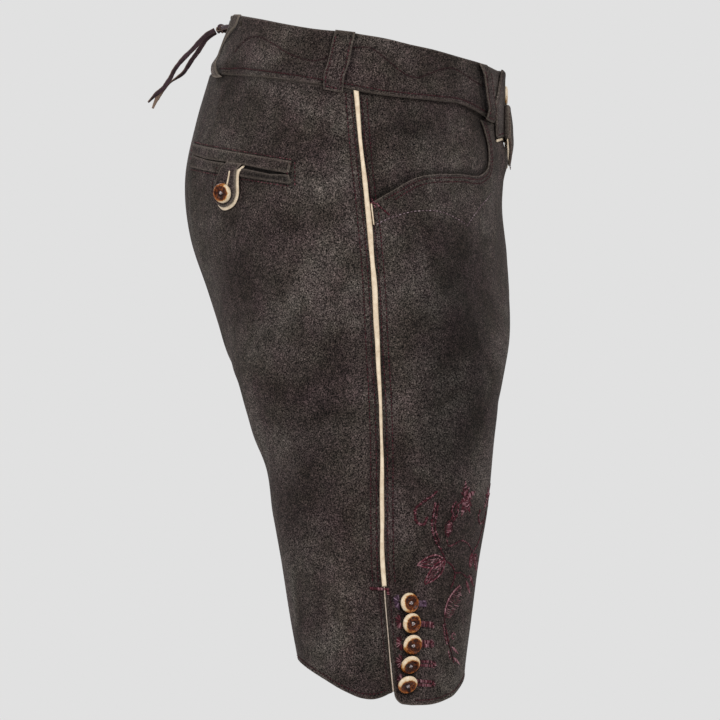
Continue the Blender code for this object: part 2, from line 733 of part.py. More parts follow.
# The two free ends, from the knot to the tip: X, Y, Z in millimetres.
LACE_ENDS = {
    "upper": [
        (-2.3, 124.6, 35.9), (-2.6, 132.0, 31.6), (-2.8, 136.9, 26.7), (-3.0, 141.8, 21.1),
        (-3.2, 149.2, 13.7), (-3.2, 154.1, 8.2), (-3.0, 158.4, 2.1), (-2.8, 160.8, -2.9),
        (-2.6, 163.9, -7.8), (-2.6, 166.6, -11.5), (-2.8, 173.1, -17.0), (-3.2, 179.3, -23.4),
    ],
    "lower": [
        (2.3, 124.0, 34.6), (2.6, 130.8, 29.7), (2.8, 135.7, 22.9), (3.0, 139.9, 16.8),
        (3.2, 143.6, 11.9), (3.2, 146.7, 7.0), (3.0, 151.0, 0.8), (2.8, 155.3, -2.5),
        (2.6, 160.3, -6.0), (2.6, 164.5, -10.2), (2.8, 168.9, -15.1), (3.0, 172.6, -20.7),
        (3.4, 175.9, -28.1),
    ],
}


def add_lace_run(side, lace):
    """The lace from its hole, under the waistband's end and over the gusset, to the knot."""
    to_back = reach(KNOT_LEVEL)[1][0]
    outline = strip(HOLE, (-(to_back - KNOT_SIZE.x - SEAM_GAP), KNOT_LEVEL), LACE_WIDTH)

    def out(along, level):
        rise = soft_step((-along - (to_back - 46)) / 40)
        return GUSSET_OUT + SEAM_GAP + LACE_THICK + 0.1 + 9.4 * rise

    add_piece(f"lace_{SIDE_NAMES[side]}", outline, lace, on_side(side), out, LACE_THICK, (8.0, 4.0))


def add_knot(lace):
    bm = bmesh.new()
    bmesh.ops.create_icosphere(bm, subdivisions=2, radius=MM)
    bmesh.ops.scale(bm, vec=KNOT_SIZE, verts=bm.verts)
    bmesh.ops.translate(bm, vec=KNOT * MM, verts=bm.verts)
    add_object("lace_knot", bm, lace)


def add_lace_end(name, route, lace):
    """A free end of the lace: a tube along a smooth curve through its points."""
    curve = bpy.data.curves.new(name, "CURVE")
    curve.dimensions = "3D"
    curve.bevel_depth = LACE_WIDTH / 2 * MM
    curve.bevel_resolution = 2
    curve.use_fill_caps = True
    points = curve_through(route, steps=1)
    spline = curve.splines.new("POLY")
    spline.points.add(len(points) - 1)
    for point, spot in zip(spline.points, points):
        point.co = (*(c * MM for c in spot), 1.0)
    curve.materials.append(lace)
    bpy.context.scene.collection.objects.link(bpy.data.objects.new(name, curve))


def build():
    for old in list(bpy.data.objects):
        bpy.data.objects.remove(old)
    suede = finish_of("suede", "45403B", 0.95)
    cream = finish_of("cream_leather", "E6D6B6", 0.6)
    horn = finish_of("horn", "A8642C", 0.3)
    lace = finish_of("lace_leather", "4A3A38", 0.8)
    for side in (RIGHT, LEFT):
        add_back(side, suede)
        add_front(side, suede)
        add_pocket_facing(side, suede)
        add_waistband(side, suede)
        add_belt_loops(side, suede)
        add_side_piping(side, cream)
        add_slit_piping(side, cream)
        add_leg_buttons(side, horn)
        add_lace_run(side, lace)
    add_gusset(suede)
    add_placket(suede, cream)
    add_front_tab(suede, cream)
    add_waist_button(horn)
    add_back_pocket(suede, cream)
    add_pocket_tab(suede, cream, horn)
    add_knife_pocket_edge(cream)
    add_knot(lace)
    for name, route in LACE_ENDS.items():
        add_lace_end(f"lace_end_{name}", route, lace)


build()
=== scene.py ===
# %% [markdown]
# # Short suede lederhosen
# These are short leather breeches, filled out as if somebody wore them, with nobody inside. The packed
# solids already say where every piece of leather, horn and lace is. This lesson dresses them: it makes
# the thin suede shells with their creases, the piping, the sewing, the embroidery, the horn buttons and
# the lace, and gives each one the look of its real material.
#
# The first cell loads the solids. They are a fixed frame: nothing here moves or reshapes them.

# %% Load the solids
import json
import math
import random
from collections import namedtuple

import bmesh
import bpy
import numpy as np
from mathutils import Matrix, Vector, geometry
from mathutils.kdtree import KDTree

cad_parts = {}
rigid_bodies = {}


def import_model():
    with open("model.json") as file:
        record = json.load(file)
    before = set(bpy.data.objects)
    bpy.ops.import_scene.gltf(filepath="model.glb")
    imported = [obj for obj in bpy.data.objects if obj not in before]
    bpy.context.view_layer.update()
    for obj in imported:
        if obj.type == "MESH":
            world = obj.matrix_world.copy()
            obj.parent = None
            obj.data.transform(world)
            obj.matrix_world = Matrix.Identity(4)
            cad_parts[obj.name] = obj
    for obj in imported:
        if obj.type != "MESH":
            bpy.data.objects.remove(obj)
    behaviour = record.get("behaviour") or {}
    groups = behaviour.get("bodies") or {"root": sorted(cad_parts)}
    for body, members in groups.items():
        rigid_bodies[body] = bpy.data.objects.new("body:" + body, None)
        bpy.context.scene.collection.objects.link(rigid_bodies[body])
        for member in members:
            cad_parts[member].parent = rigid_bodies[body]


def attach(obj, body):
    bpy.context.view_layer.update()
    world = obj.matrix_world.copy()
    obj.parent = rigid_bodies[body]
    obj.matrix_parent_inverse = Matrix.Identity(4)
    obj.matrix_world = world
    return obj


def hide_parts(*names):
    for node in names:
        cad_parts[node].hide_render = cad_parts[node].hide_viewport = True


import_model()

MM = 0.001
RIGHT, LEFT = -1, 1
SIDES = [(RIGHT, "right"), (LEFT, "left")]
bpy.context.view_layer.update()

# %% [markdown]
# ## The camera
# The garment is seen square on from the wearer's right, from far away, so that its lines stay almost
# parallel. A long lens gives that: the lens follows from the distance and from how wide a strip of the
# garment's middle plane fills the picture.

# %% Camera
VIEW_DISTANCE = 4.0
VIEW_WIDTH = 0.5904
VIEW_CENTRE = (0.0057, -0.2345)
SENSOR = 36.0

camera_data = bpy.data.cameras.new("camera")
camera_data.sensor_width = SENSOR
camera_data.lens = SENSOR * VIEW_DISTANCE / VIEW_WIDTH
camera = bpy.data.objects.new("camera", camera_data)
camera.location = (-VIEW_DISTANCE, *VIEW_CENTRE)
camera.rotation_euler = (math.radians(90), 0.0, math.radians(-90))
bpy.context.scene.collection.objects.link(camera)
bpy.context.scene.camera = camera
print("lens:", round(camera_data.lens, 1), "mm")

# %% [markdown]
# ## Nodes and colours
# Every finish below is a small network of nodes. One helper adds a node with its settings and its
# links, so that a network reads from top to bottom. Colours are written as a screen shows them, in
# hex, and one function turns them into the linear values that Blender wants. A natural pattern is
# noise, and its scale is worked out from the real size of its lumps.

# %% One helper for nodes, one for colours, one for sizes
def linear(colour):
    """Linear RGBA of an sRGB hex colour."""
    channels = [int(colour[i : i + 2], 16) / 255 for i in (0, 2, 4)]
    return (*(c / 12.92 if c <= 0.04045 else ((c + 0.055) / 1.055) ** 2.4 for c in channels), 1.0)


def add(tree, kind, settings=None, inputs=None, out=0, stops=()):
    """Add a node and return its output out. inputs maps a socket's name or number to a value, or to
    the output that feeds it. stops are the (value, hex colour) pairs of a colour ramp."""
    node = tree.nodes.new("ShaderNode" + kind)
    for name, value in (settings or {}).items():
        setattr(node, name, value)
    for name, value in (inputs or {}).items():
        if isinstance(value, bpy.types.NodeSocket):
            tree.links.new(value, node.inputs[name])
        else:
            node.inputs[name].default_value = value
    while stops and len(node.color_ramp.elements) < len(stops):
        node.color_ramp.elements.new(0.5)
    if stops:
        for element, (at, colour) in zip(node.color_ramp.elements, stops):
            element.position = at
            element.color = linear(colour)
    return node.outputs[out]


def lumps(place, size_mm, detail=2.0, rough=0.5, distortion=0.0):
    """What a noise node needs for lumps of about that real size."""
    return {"Vector": place, "Scale": 1.0 / size_mm, "Detail": detail, "Roughness": rough,
            "Distortion": distortion}


# Settings that come back: a mix of two colours, times and plus kept from 0 to 1, and a colour or a
# place made larger.
MIX = {"data_type": "RGBA", "blend_type": "MIX"}
TIMES_PLUS = {"operation": "MULTIPLY_ADD", "use_clamp": True}
LARGER = {"operation": "SCALE"}


def new_material(name, roughness, **shader_values):
    """An empty finish: its tree, its shader, and its coordinates in millimetres."""
    material = bpy.data.materials.new(name)
    material.use_nodes = True
    tree = material.node_tree
    shader = tree.nodes["Principled BSDF"]
    shader.inputs["Roughness"].default_value = roughness
    for socket, value in shader_values.items():
        shader.inputs[socket.replace("_", " ")].default_value = value
    place = add(tree, "TexCoord", out="Object")
    return material, tree, shader, add(tree, "VectorMath", LARGER, {0: place, "Scale": 1 / MM})


def finished(tree, shader, colour, height=None, strength=0.0, depth_mm=0.0):
    """Give the shader its colour and, where there is a height, its bump."""
    tree.links.new(colour, shader.inputs["Base Color"])
    if height is not None:
        bump = add(tree, "Bump", None, {"Strength": strength, "Distance": depth_mm * MM, "Height": height})
        tree.links.new(bump, shader.inputs["Normal"])


print("linear value of mid grey:", round(linear("808080")[0], 3))

# %% [markdown]
# ## Floor and light
# A pale room and a few large soft lamps show dark suede well: hard lamps would hide its mottling in
# deep shadow. The room itself gives most of the light. One big lamp above the camera models the
# folds, a weaker one fills from behind, and the floor lies well below the hems. The standard view
# transform shows a colour as its hex value says, so finishes can be matched to samples of the real ones.

# %% Floor, room and lamps
FLOOR_LEVEL = -0.80
FLOOR_HALF = 1.5
ROOM_COLOUR = "E1E1E1"

plaster, tree, shader, place_mm = new_material("matt_plaster_floor", 0.9)
mottle = add(tree, "TexNoise", None, lumps(place_mm, 40.0))
finished(tree, shader, add(tree, "ValToRGB", None, {"Fac": mottle}, stops=[(0.3, "DEDEDD"), (0.7, "E4E4E4")]))

bm = bmesh.new()
bmesh.ops.create_grid(bm, x_segments=8, y_segments=8, size=FLOOR_HALF)
bmesh.ops.translate(bm, vec=(0, 0, FLOOR_LEVEL), verts=bm.verts)
floor_mesh = bpy.data.meshes.new("floor")
bm.to_mesh(floor_mesh)
bm.free()
floor_mesh.materials.append(plaster)
floor = bpy.data.objects.new("floor", floor_mesh)
bpy.context.scene.collection.objects.link(floor)

room = bpy.data.worlds.new("pale_room")
room.use_nodes = True
room.node_tree.nodes["Background"].inputs["Color"].default_value = linear(ROOM_COLOUR)
room.node_tree.nodes["Background"].inputs["Strength"].default_value = 1.0
bpy.context.scene.world = room
bpy.context.scene.view_settings.view_transform = "Standard"

# Each lamp: its place, the point it looks at, its size in metres, and its power in watts.
Lamp = namedtuple("Lamp", "name place aim size power")
LAMPS = [
    Lamp("key", (-2.0, -0.9, 1.5), (0, 0, -0.2), 1.3, 42),
    Lamp("back_fill", (-1.6, 1.7, 0.5), (0, 0.05, -0.25), 1.2, 18),
    Lamp("far_side", (2.2, 0.4, 1.4), (0, 0, -0.2), 1.4, 34),
]
for lamp in LAMPS:
    light = bpy.data.lights.new(lamp.name, "AREA")
    light.size = lamp.size
    light.energy = lamp.power
    made = bpy.data.objects.new(lamp.name, light)
    made.location = lamp.place
    made.rotation_euler = (Vector(lamp.aim) - Vector(lamp.place)).to_track_quat("-Z", "Y").to_euler()
    bpy.context.scene.collection.objects.link(made)
print(len(LAMPS), "lamps")

# %% [markdown]
# ## The body's surface
# Leather clothing is cut flat and then bent round a body, so it helps to draw on the body as a maker
# draws on the hide. Every point of the outer face has two real distances, in millimetres: along, the
# distance round the body from the side seam, positive to the front, and level, the height at which
# that line passes the hip. A third distance, out, stands straight off the leather.
#
# The body is a short table of girth lines, the same one that the solids were made from. Only the back
# of the waist stands out up to 8 mm more, because the lace gathers soft leather there. Working out a
# point from the table takes a while, so the points and the outward directions are worked out once, on a
# grid of about a millimetre, and then read off in between.

# %% Girth lines of the body
# level; rise towards the back; reach to the back, front and side; inner leg; where the side seam runs
Section = namedtuple("Section", "level tilt back front side inner seam")
SECTIONS = [Section(*row) for row in [
    (24.0, 0.210, 115.0, 110.0, 158, 0, 10.0),
    (-24.4, 0.185, 128.5, 109.8, 165, 0, 8.0),
    (-60.0, 0.140, 140.0, 112.0, 174, 0, 4.0),
    (-100.0, 0.090, 149.0, 110.5, 181, 0, -1.0),
    (-140.0, 0.050, 145.0, 114.0, 186, 0, -4.0),
    (-180.0, 0.020, 130.5, 116.0, 190, 0, -7.0),
    (-220.0, 0.0, 115.5, 113.5, 192, 0, -9.0),
    (-262.0, 0.0, 101.0, 106.5, 193, 0, -10.5),
    (-290.0, 0.0, 91.0, 102.5, 194, 5, -11.0),
    (-320.0, 0.0, 81.0, 98.6, 195, 10, -11.5),
    (-360.0, 0.0, 76.0, 94.2, 196, 17, -12.0),
    (-400.0, 0.0, 68.0, 88.2, 197, 24, -13.0),
    (-440.0, 0.0, 60.5, 83.0, 198, 30, -16.0),
    (-480.0, 0.0, 53.7, 77.8, 199, 36, -19.5),
    (-515.0, 0.0, 48.5, 74.5, 200, 41, -23.0),
]]
CROTCH = -262.0
FORK_START = -165.0
GIRTH_POINTS = 181
# The gap between two pieces that are sewn together, the gap in the middle of the body, and how near
# the middle a point is brought right up to it.
SEAM_GAP, MIDDLE_GAP, MIDDLE_STRIP = 0.3, 0.03, 0.25


def soft_step(x):
    """0 below 0, 1 above 1, and a smooth rise between."""
    x = np.clip(x, 0.0, 1.0)
    return x * x * (3 - 2 * x)


def unit(vectors):
    """The vectors made one long."""
    return vectors / np.maximum(np.linalg.norm(vectors, axis=-1, keepdims=True), 1e-9)


def smooth(at, knots, values):
    """A smooth curve through (knots, values), read at each place in at."""
    knots, values = np.asarray(knots, float), np.asarray(values, float)
    slopes = np.gradient(values, knots)
    i = np.clip(np.searchsorted(knots, at) - 1, 0, len(knots) - 2)
    step = knots[i + 1] - knots[i]
    f = (np.asarray(at, float) - knots[i]) / step
    return (
        values[i] * (1 + 2 * f) * (1 - f) ** 2 + slopes[i] * step * f * (1 - f) ** 2
        + values[i + 1] * f * f * (3 - 2 * f) + slopes[i + 1] * step * f * f * (f - 1)
    )


def girth_lines(level):
    """Points of the line round half the body at each level, front middle to back middle, and the
    distance of each point from the side seam."""
    rows = sorted(SECTIONS)
    knots = [row.level for row in rows]
    cut = Section(*(smooth(level, knots, [r[i] for r in rows])[:, None] for i in range(len(rows[0]))))
    t = np.linspace(0, 1, GIRTH_POINTS)[None, :]
    forked = np.clip((FORK_START - cut.level) / (FORK_START - CROTCH), 0, 1)
    fork = 1 - np.sqrt(1 - forked**2)
    centre, half_depth = (cut.back - cut.front) / 2, (cut.back + cut.front) / 2
    inner = np.maximum(cut.inner, 0)
    leg_x = inner + (cut.side - inner) / 2 * (1 - np.cos(2 * math.pi * t))
    leg_y = centre - half_depth * np.sin(2 * math.pi * t)
    x = (1 - fork) * cut.side * np.sin(math.pi * t) + fork * leg_x
    y = (1 - fork) * (centre - half_depth * np.cos(math.pi * t)) + fork * leg_y
    x = inner + (x - inner) * (cut.side - inner) / (x.max(1, keepdims=True) - inner)
    forward = (centre - y.min(1, keepdims=True)) / half_depth
    backward = (y.max(1, keepdims=True) - centre) / half_depth
    y = centre + (y - centre) / np.where(y < centre, forward, backward)
    z = cut.level + cut.tilt * y
    steps = np.sqrt(np.diff(x) ** 2 + np.diff(y) ** 2 + np.diff(z) ** 2)
    travelled = np.concatenate([np.zeros_like(x[:, :1]), np.cumsum(steps, axis=1)], axis=1)
    outer = slice(GIRTH_POINTS // 3, 2 * GIRTH_POINTS // 3)
    rows = zip(cut.seam[:, 0], y[:, outer], travelled[:, outer])
    at_seam = np.array([np.interp(seam, row, far) for seam, row, far in rows])
    return np.stack([x, y, z], axis=2)[:, ::-1], (at_seam[:, None] - travelled)[:, ::-1]


# %% The grid that points are read from
# Its levels lie closer together round the crotch, where the legs part.
LEVELS = np.concatenate([
    np.arange(-515.0, -266.0), np.arange(-266.0, -258.0, 0.25), np.arange(-258.0, 28.0),
])
COLUMNS = np.arange(-300.0, 301.0)


def read_lines(lines, along):
    """The points at those distances from the side seam, row by row."""
    points, distance = lines
    rows = zip(points, distance, along)
    return np.array([[np.interp(s, d, p[:, k]) for k in range(3)] for p, d, s in rows]).transpose(0, 2, 1)


level_lines = girth_lines(LEVELS)
TO_BACK, TO_FRONT = -level_lines[1][:, 0], level_lines[1][:, -1]
inside_reach = np.clip(COLUMNS[None, :], -TO_BACK[:, None], TO_FRONT[:, None])
GRID_POINTS = read_lines(level_lines, inside_reach)
ahead = read_lines(level_lines, inside_reach + 1) - read_lines(level_lines, inside_reach - 1)
up = read_lines(girth_lines(LEVELS + 1), inside_reach) - read_lines(girth_lines(LEVELS - 1), inside_reach)
GRID_OUT = unit(np.cross(up, ahead))


def reach(level):
    """How far the leather reaches from the side seam at each level: (to the front, to the back)."""
    return np.interp(level, LEVELS, TO_FRONT), np.interp(level, LEVELS, TO_BACK)


def off_body(along, level, out):
    """Points at those coordinates, in millimetres, on the side where X is positive."""
    to_front, to_back = reach(level)
    along = np.clip(along, -to_back, to_front)
    row = np.clip(np.searchsorted(LEVELS, level) - 1, 0, len(LEVELS) - 2)
    column = np.clip(along - COLUMNS[0], 0, len(COLUMNS) - 1.001)
    left = column.astype(int)
    up = np.clip((level - LEVELS[row]) / (LEVELS[row + 1] - LEVELS[row]), 0, 1)[:, None]
    over = (column - left)[:, None]

    def read(grid):
        low = grid[row, left] * (1 - over) + grid[row, left + 1] * over
        high = grid[row + 1, left] * (1 - over) + grid[row + 1, left + 1] * over
        return low * (1 - up) + high * up

    return read(GRID_POINTS) + read(GRID_OUT) * np.reshape(out, (-1, 1))


def on_side(side):
    """The placing function of a piece on one side; it stops just short of the middle plane."""
    def placing(along, level, out):
        along, level = np.atleast_1d(along).astype(float), np.atleast_1d(level).astype(float)
        points, (to_front, to_back) = off_body(along, level, out), reach(level)
        at_middle = (level > CROTCH) & ((along < MIDDLE_STRIP - to_back) | (along > to_front - MIDDLE_STRIP))
        points[:, 0] = np.maximum(np.where(at_middle, 0, points[:, 0]), MIDDLE_GAP / 2) * side
        return points * MM
    return placing


def across(at_back):
    """The placing function of a piece that crosses the middle of the back or of the front; its along
    is the distance from the middle, positive on the wearer's left."""
    def placing(from_middle, level, out):
        from_middle, level = np.atleast_1d(from_middle).astype(float), np.atleast_1d(level).astype(float)
        to_front, to_back = reach(level)
        along = np.abs(from_middle) - to_back if at_back else to_front - np.abs(from_middle)
        points = off_body(along, level, out)
        points[:, 0] *= np.sign(np.round(from_middle, 3))
        return points * MM
    return placing


ON = {side: on_side(side) for side in (RIGHT, LEFT)}
AT_BACK, AT_FRONT = across(at_back=True), across(at_back=False)
print("waist round:", round(2 * float(sum(reach(24.0)))), "mm, hips round:",
      round(2 * float(sum(reach(-100.0)))), "mm")

# %% [markdown]
# ## Suede
# The garment is goat velour, a split hide whose inner side is sanded until it stands up in a short
# nap. The nap scatters light in every direction, so there is no gloss, only a faint bloom where the
# fibres are seen from the side. Dye takes unevenly on such a hide: clouds some 50 mm across run from a
# warm brown with a trace of wine to a cool grey, and the nap adds a fine speckle. Real fibres are
# 0.3 mm thick. They are drawn here at about 1 mm, or they would vanish in the picture.
# Rubbed edges go pale, and the rows of sewing are painted darker; the shells store that as wear. They
# also store a tone: painted shadow lines where layers meet, and broad patches painted lighter or
# darker for uneven dye and for light and shade.

# %% Finish: suede
CLOUD_SIZE, STAIN_SIZE, PATCH_SIZE, NAP_SIZE, TUFT_SIZE = 52.0, 26.0, 7.0, 1.05, 1 / 1.15
# The darker colour painted along the rows of sewing.
SEAM_GROOVE_DARK = "211517"


def uneven(tree, colour, value, low, high):
    """The colour times low where the value is 0.3, times high where it is 0.7."""
    times = add(tree, "MapRange", None, {
        "Value": value, "From Min": 0.3, "From Max": 0.7, "To Min": low, "To Max": high,
    })
    return add(tree, "VectorMath", LARGER, {0: colour, "Scale": times})


def suede_finish(name, dark, middle, pale, wine, rubbed):
    """Clouds of dye, stains, patches and nap; then the shells' tone, which holds painted shadow lines and
    painted light and shade, and their wear over them.
    """
    material, tree, shader, place = new_material(
        name, 0.95, IOR=1.4, Specular_IOR_Level=0.15, Sheen_Weight=0.05, Sheen_Roughness=0.45,
        Sheen_Tint=linear("B9ADA6"),
    )
    clouds = add(tree, "TexNoise", None, lumps(place, CLOUD_SIZE, 2.0, 0.55, 0.3))
    hide = add(tree, "ValToRGB", None, {"Fac": clouds}, stops=[(0.36, dark), (0.5, middle), (0.64, pale)])
    stains = add(tree, "TexNoise", None, lumps(place, STAIN_SIZE, 3.0, 0.6))
    stained = add(tree, "Math", TIMES_PLUS, {0: stains, 1: 2.0, 2: -0.75})
    hide = add(tree, "Mix", MIX, {0: stained, 6: hide, 7: linear(wine)}, out=2)
    patches = add(tree, "TexNoise", None, lumps(place, PATCH_SIZE, 3.0, 0.65))
    hide = uneven(tree, hide, patches, 0.70, 1.30)
    nap = add(tree, "TexNoise", None, lumps(place, NAP_SIZE, 2.0, 0.8))
    hide = uneven(tree, hide, nap, -0.90, 3.05)
    tufts = add(tree, "TexVoronoi", {"feature": "F1"}, {"Vector": place, "Scale": 1 / TUFT_SIZE}, out="Color")
    tuft = add(tree, "SeparateColor", None, {"Color": tufts})
    hide = uneven(tree, hide, add(tree, "Math", TIMES_PLUS, {0: tuft, 1: 0.4, 2: 0.3}), 0.40, 1.60)
    # The shells' tone: painted shadow lines where layers meet, and patches of dye and painted light and shade.
    tone = add(tree, "Attribute", {"attribute_name": "tone"}, out="Fac")
    lighter = add(tree, "Math", {"operation": "ADD"}, {0: tone, 1: 1.0})
    hide = add(tree, "VectorMath", LARGER, {0: hide, "Scale": lighter})
    wear = add(tree, "Attribute", {"attribute_name": "wear"}, out="Fac")
    frayed = add(tree, "Math", {"operation": "MULTIPLY"}, {
        0: wear, 1: add(tree, "Math", TIMES_PLUS, {0: nap, 1: 1.2, 2: 0.3}),
    })
    rubbed_part = add(tree, "Math", TIMES_PLUS, {0: frayed, 1: 0.7, 2: 0.0})
    hide = add(tree, "Mix", MIX, {0: rubbed_part, 6: hide, 7: linear(rubbed)}, out=2)
    # Darker along the rows of sewing, where the wear is negative.
    sewn_in = add(tree, "Math", TIMES_PLUS, {0: wear, 1: -0.75, 2: 0.0})
    hide = add(tree, "Mix", MIX, {0: sewn_in, 6: hide, 7: linear(SEAM_GROOVE_DARK)}, out=2)
    height = add(tree, "Math", {"operation": "MULTIPLY_ADD"}, {0: patches, 1: 1.6, 2: nap})
    finished(tree, shader, hide, height, 0.8, 0.6)
    return material


suede = suede_finish("grey_brown_velour_suede", "241E1B", "2F2A26", "3F3A36", "332829", "7E7369")
print("finish:", suede.name)

# %% [markdown]
# ## Cream leather, lace leather and thread
# The piping is smooth sheepskin left in its natural cream. It has a soft gloss and goes browner at its
# cut edges. The lace is a strip of the dark hide with its smooth side out. The sewing thread is twisted
# polyester and the embroidery is rayon, both the colour of red wine. A thread is round and a little
# shiny, so each one shows a pale line and a dark one. The threads store a shade, from dark to pale: it
# is partly the dye's own unevenness and partly painted light, since the paler shades stand for threads
# that catch the light.

# %% Finishes: cream leather, lace leather and threads
PORE_SIZE = 1 / 1.1


def smooth_leather(name, dark, pale, roughness, spot_mm, worn="9A7B58"):
    """Leather with its grain side out: faint spots, browner where it is worn, and shallow pores."""
    material, tree, shader, place = new_material(name, roughness, IOR=1.5, Specular_IOR_Level=0.35)
    spots = add(tree, "TexNoise", None, lumps(place, spot_mm, 3.0, 0.6))
    tone = add(tree, "ValToRGB", None, {"Fac": spots}, stops=[(0.3, dark), (0.62, pale)])
    wear = add(tree, "Attribute", {"attribute_name": "wear"}, out="Fac")
    browned = add(tree, "Math", TIMES_PLUS, {0: wear, 1: 0.55, 2: 0.0})
    tone = add(tree, "Mix", MIX, {0: browned, 6: tone, 7: linear(worn)}, out=2)
    pores = add(tree, "TexVoronoi", {"feature": "DISTANCE_TO_EDGE"}, {"Vector": place, "Scale": 1 / PORE_SIZE})
    finished(tree, shader, tone, pores, 0.25, 0.2)
    return material


def thread_finish(name, dark, middle, pale, roughness):
    """Shades of one dye, whose pale end is also a painted highlight; the fine bump is the twist of the yarn, 0.6 mm
    to a turn.
    """
    material, tree, shader, place = new_material(name, roughness, Specular_IOR_Level=0.15)
    shade = add(tree, "Attribute", {"attribute_name": "shade"}, out="Fac")
    tone = add(tree, "ValToRGB", None, {"Fac": shade}, stops=[(0.0, dark), (0.5, middle), (1.0, pale)])
    finished(tree, shader, tone, add(tree, "TexNoise", None, lumps(place, 0.6, 1.0)), 0.4, 0.2)
    return material


cream = smooth_leather("cream_sheepskin", "B29E86", "CDBDA6", 0.55, 5.0)
rubbed_cream = smooth_leather("rubbed_cream_sheepskin", "7E7065", "B0A294", 0.6, 4.0)
lace_leather = smooth_leather("dark_lace_leather", "1C1012", "332128", 0.92, 3.0, "8A7462")
wine_thread = thread_finish("wine_polyester_thread", "1E0609", "3A1119", "60383C", 0.7)
wine_silk = thread_finish("wine_rayon_embroidery", "1E0509", "48131E", "906A70", 0.55)
violet_silk = thread_finish("violet_rayon_embroidery", "2B1B28", "4E374A", "8A7484", 0.55)
button_thread = thread_finish("grey_button_thread", "33282C", "85787C", "D6CCC4", 0.5)
mauve_thread = thread_finish("mauve_polyester_thread", "4A3C3F", "66565A", "8C7C80", 0.7)
print("finishes:", cream.name, lace_leather.name, wine_thread.name, wine_silk.name)

# %% [markdown]
# ## Creases
# Leather that has been worn keeps its bends. Each crease here is a long low ridge, or a trough where
# its height is negative. The first table is the broad folds that the solids have as well, so that the
# shells lie on them. The second is the sharper creases, each placed one by one in its own size: they fan
# out below the waistband, hang off the seat, and run round the thigh. The left side gets the same ones,
# each a little moved and turned.

# %% Folds and creases
Crease = namedtuple("Crease", "along level heading length width height")
FOLDS = [Crease(*row) for row in [
    (-208, -122, 80, 46, 11, 1.8), (-150, -178, 38, 62, 17, 1.5), (-96, -232, 28, 70, 18, 1.6),
    (-196, -268, 20, 60, 15, -1.9), (-168, -300, 14, 74, 17, 1.7), (-72, -350, 62, 64, 18, 1.4),
    (-148, -398, 74, 76, 20, -1.6), (-36, -446, 82, 52, 13, 1.2), (124, -104, 34, 44, 13, 1.7),
    (62, -196, -34, 66, 19, 1.4), (176, -214, 24, 60, 17, 1.6), (226, -268, 36, 54, 14, -1.8),
    (120, -318, -66, 74, 19, 1.5), (190, -388, 78, 78, 20, -1.6), (82, -452, 66, 50, 16, 1.2),
]]
CREASES = [Crease(*row) for row in [
    (-152, -46, 82, 20, 5.0, 0.7), (-116, -48, 98, 17, 4.0, -0.5), (-72, -44, 86, 16, 4.5, 0.5),
    (-34, -46, 78, 20, 4.0, -0.4), (-222, -112, 66, 26, 5.0, 1.1), (-200, -146, 54, 34, 6.5, 0.8),
    (-168, -124, 10, 40, 5.5, -0.5), (-84, -122, -8, 30, 5.0, 0.5), (-122, -204, 36, 46, 7.5, 0.7),
    (-56, -172, 78, 42, 6.0, 0.5), (-180, -236, 16, 42, 7.0, -0.8), (-38, -262, 84, 52, 6.5, 0.5),
    (-106, -300, 58, 50, 8.0, 0.7), (-186, -338, 80, 54, 8.0, 0.8), (-58, -412, 68, 34, 6.0, -0.5),
    (-126, -446, 84, 34, 7.5, 0.8), (-24, -470, 86, 22, 5.0, 0.5), (58, -56, 74, 20, 4.5, 0.4),
    (104, -52, 96, 16, 4.5, -0.4), (156, -132, 60, 30, 6.0, 0.8), (108, -152, 18, 38, 6.5, 0.6),
    (184, -178, 42, 42, 7.0, 0.9), (36, -176, 80, 44, 6.0, -0.4), (88, -240, 66, 52, 8.0, 0.6),
    (156, -262, 30, 44, 7.0, -0.7), (30, -298, 84, 48, 6.0, 0.4), (168, -330, 72, 50, 8.0, 0.8),
    (112, -402, 78, 38, 7.0, -0.5), (200, -54, 88, 22, 13, 2.4), (204, -56, 88, 10, 14, 2.2),
    (62, -488, 80, 18, 6.0, 0.6), (150, -458, 84, 32, 8.0, 0.7),
]]
FOLDS_START, FOLDS_FULL = -34.0, -70.0
CREASES_START, CREASES_OVER = -26, 14
# Broad patches painted lighter or darker: partly the hide's uneven dye, partly painted light and shade
# on the folds. Here the height is how much darker or lighter.
DYE_AND_LIGHT_PATCHES = [Crease(*row) for row in [
    (70, -224, 84, 88, 36, -0.70), (64, -280, 70, 44, 22, -0.50), (46, -46, 4, 32, 15, -0.36),
    (112, -50, 60, 22, 12, 0.16), (-92, -212, 20, 34, 16, -0.20), (-50, -282, 74, 46, 18, -0.24),
    (-52, -156, 70, 44, 24, 0.20), (10, -4, 10, 20, 15, 0.30), (-128, -262, 76, 44, 14, 0.14),
    (-22, -340, 88, 62, 8, 0.22), (17, -262, 86, 56, 9, 0.24), (163, -154, 84, 40, 12, 0.22),
    (-20, -462, 84, 30, 8, -0.30), (-42, -405, 80, 40, 10, 0.18), (-84, -455, 76, 26, 12, 0.10),
    (-95, 2, 6, 42, 14, 0.22), (-112, -440, 80, 44, 26, 0.08), (-206, -262, 86, 170, 24, -0.18),
    (-72, -2, 6, 30, 12, 0.12), (-92, -24, 4, 44, 9, -0.20), (-178, -112, 76, 28, 12, 0.18),
    (18, -66, 86, 28, 6, 0.30), (94, -62, 80, 24, 12, 0.16), (178, -88, 89, 38, 3.0, 0.35),
    (188, -84, 89, 36, 2.5, 0.35), (-74, -360, 70, 34, 16, -0.14), (92, -356, 80, 40, 16, 0.14),
    (-34, -432, 86, 50, 10, 0.30), (-140, -70, 12, 26, 10, 0.20), (-60, -66, 30, 22, 14, 0.12),
    (120, -140, 30, 34, 12, -0.14),
]]

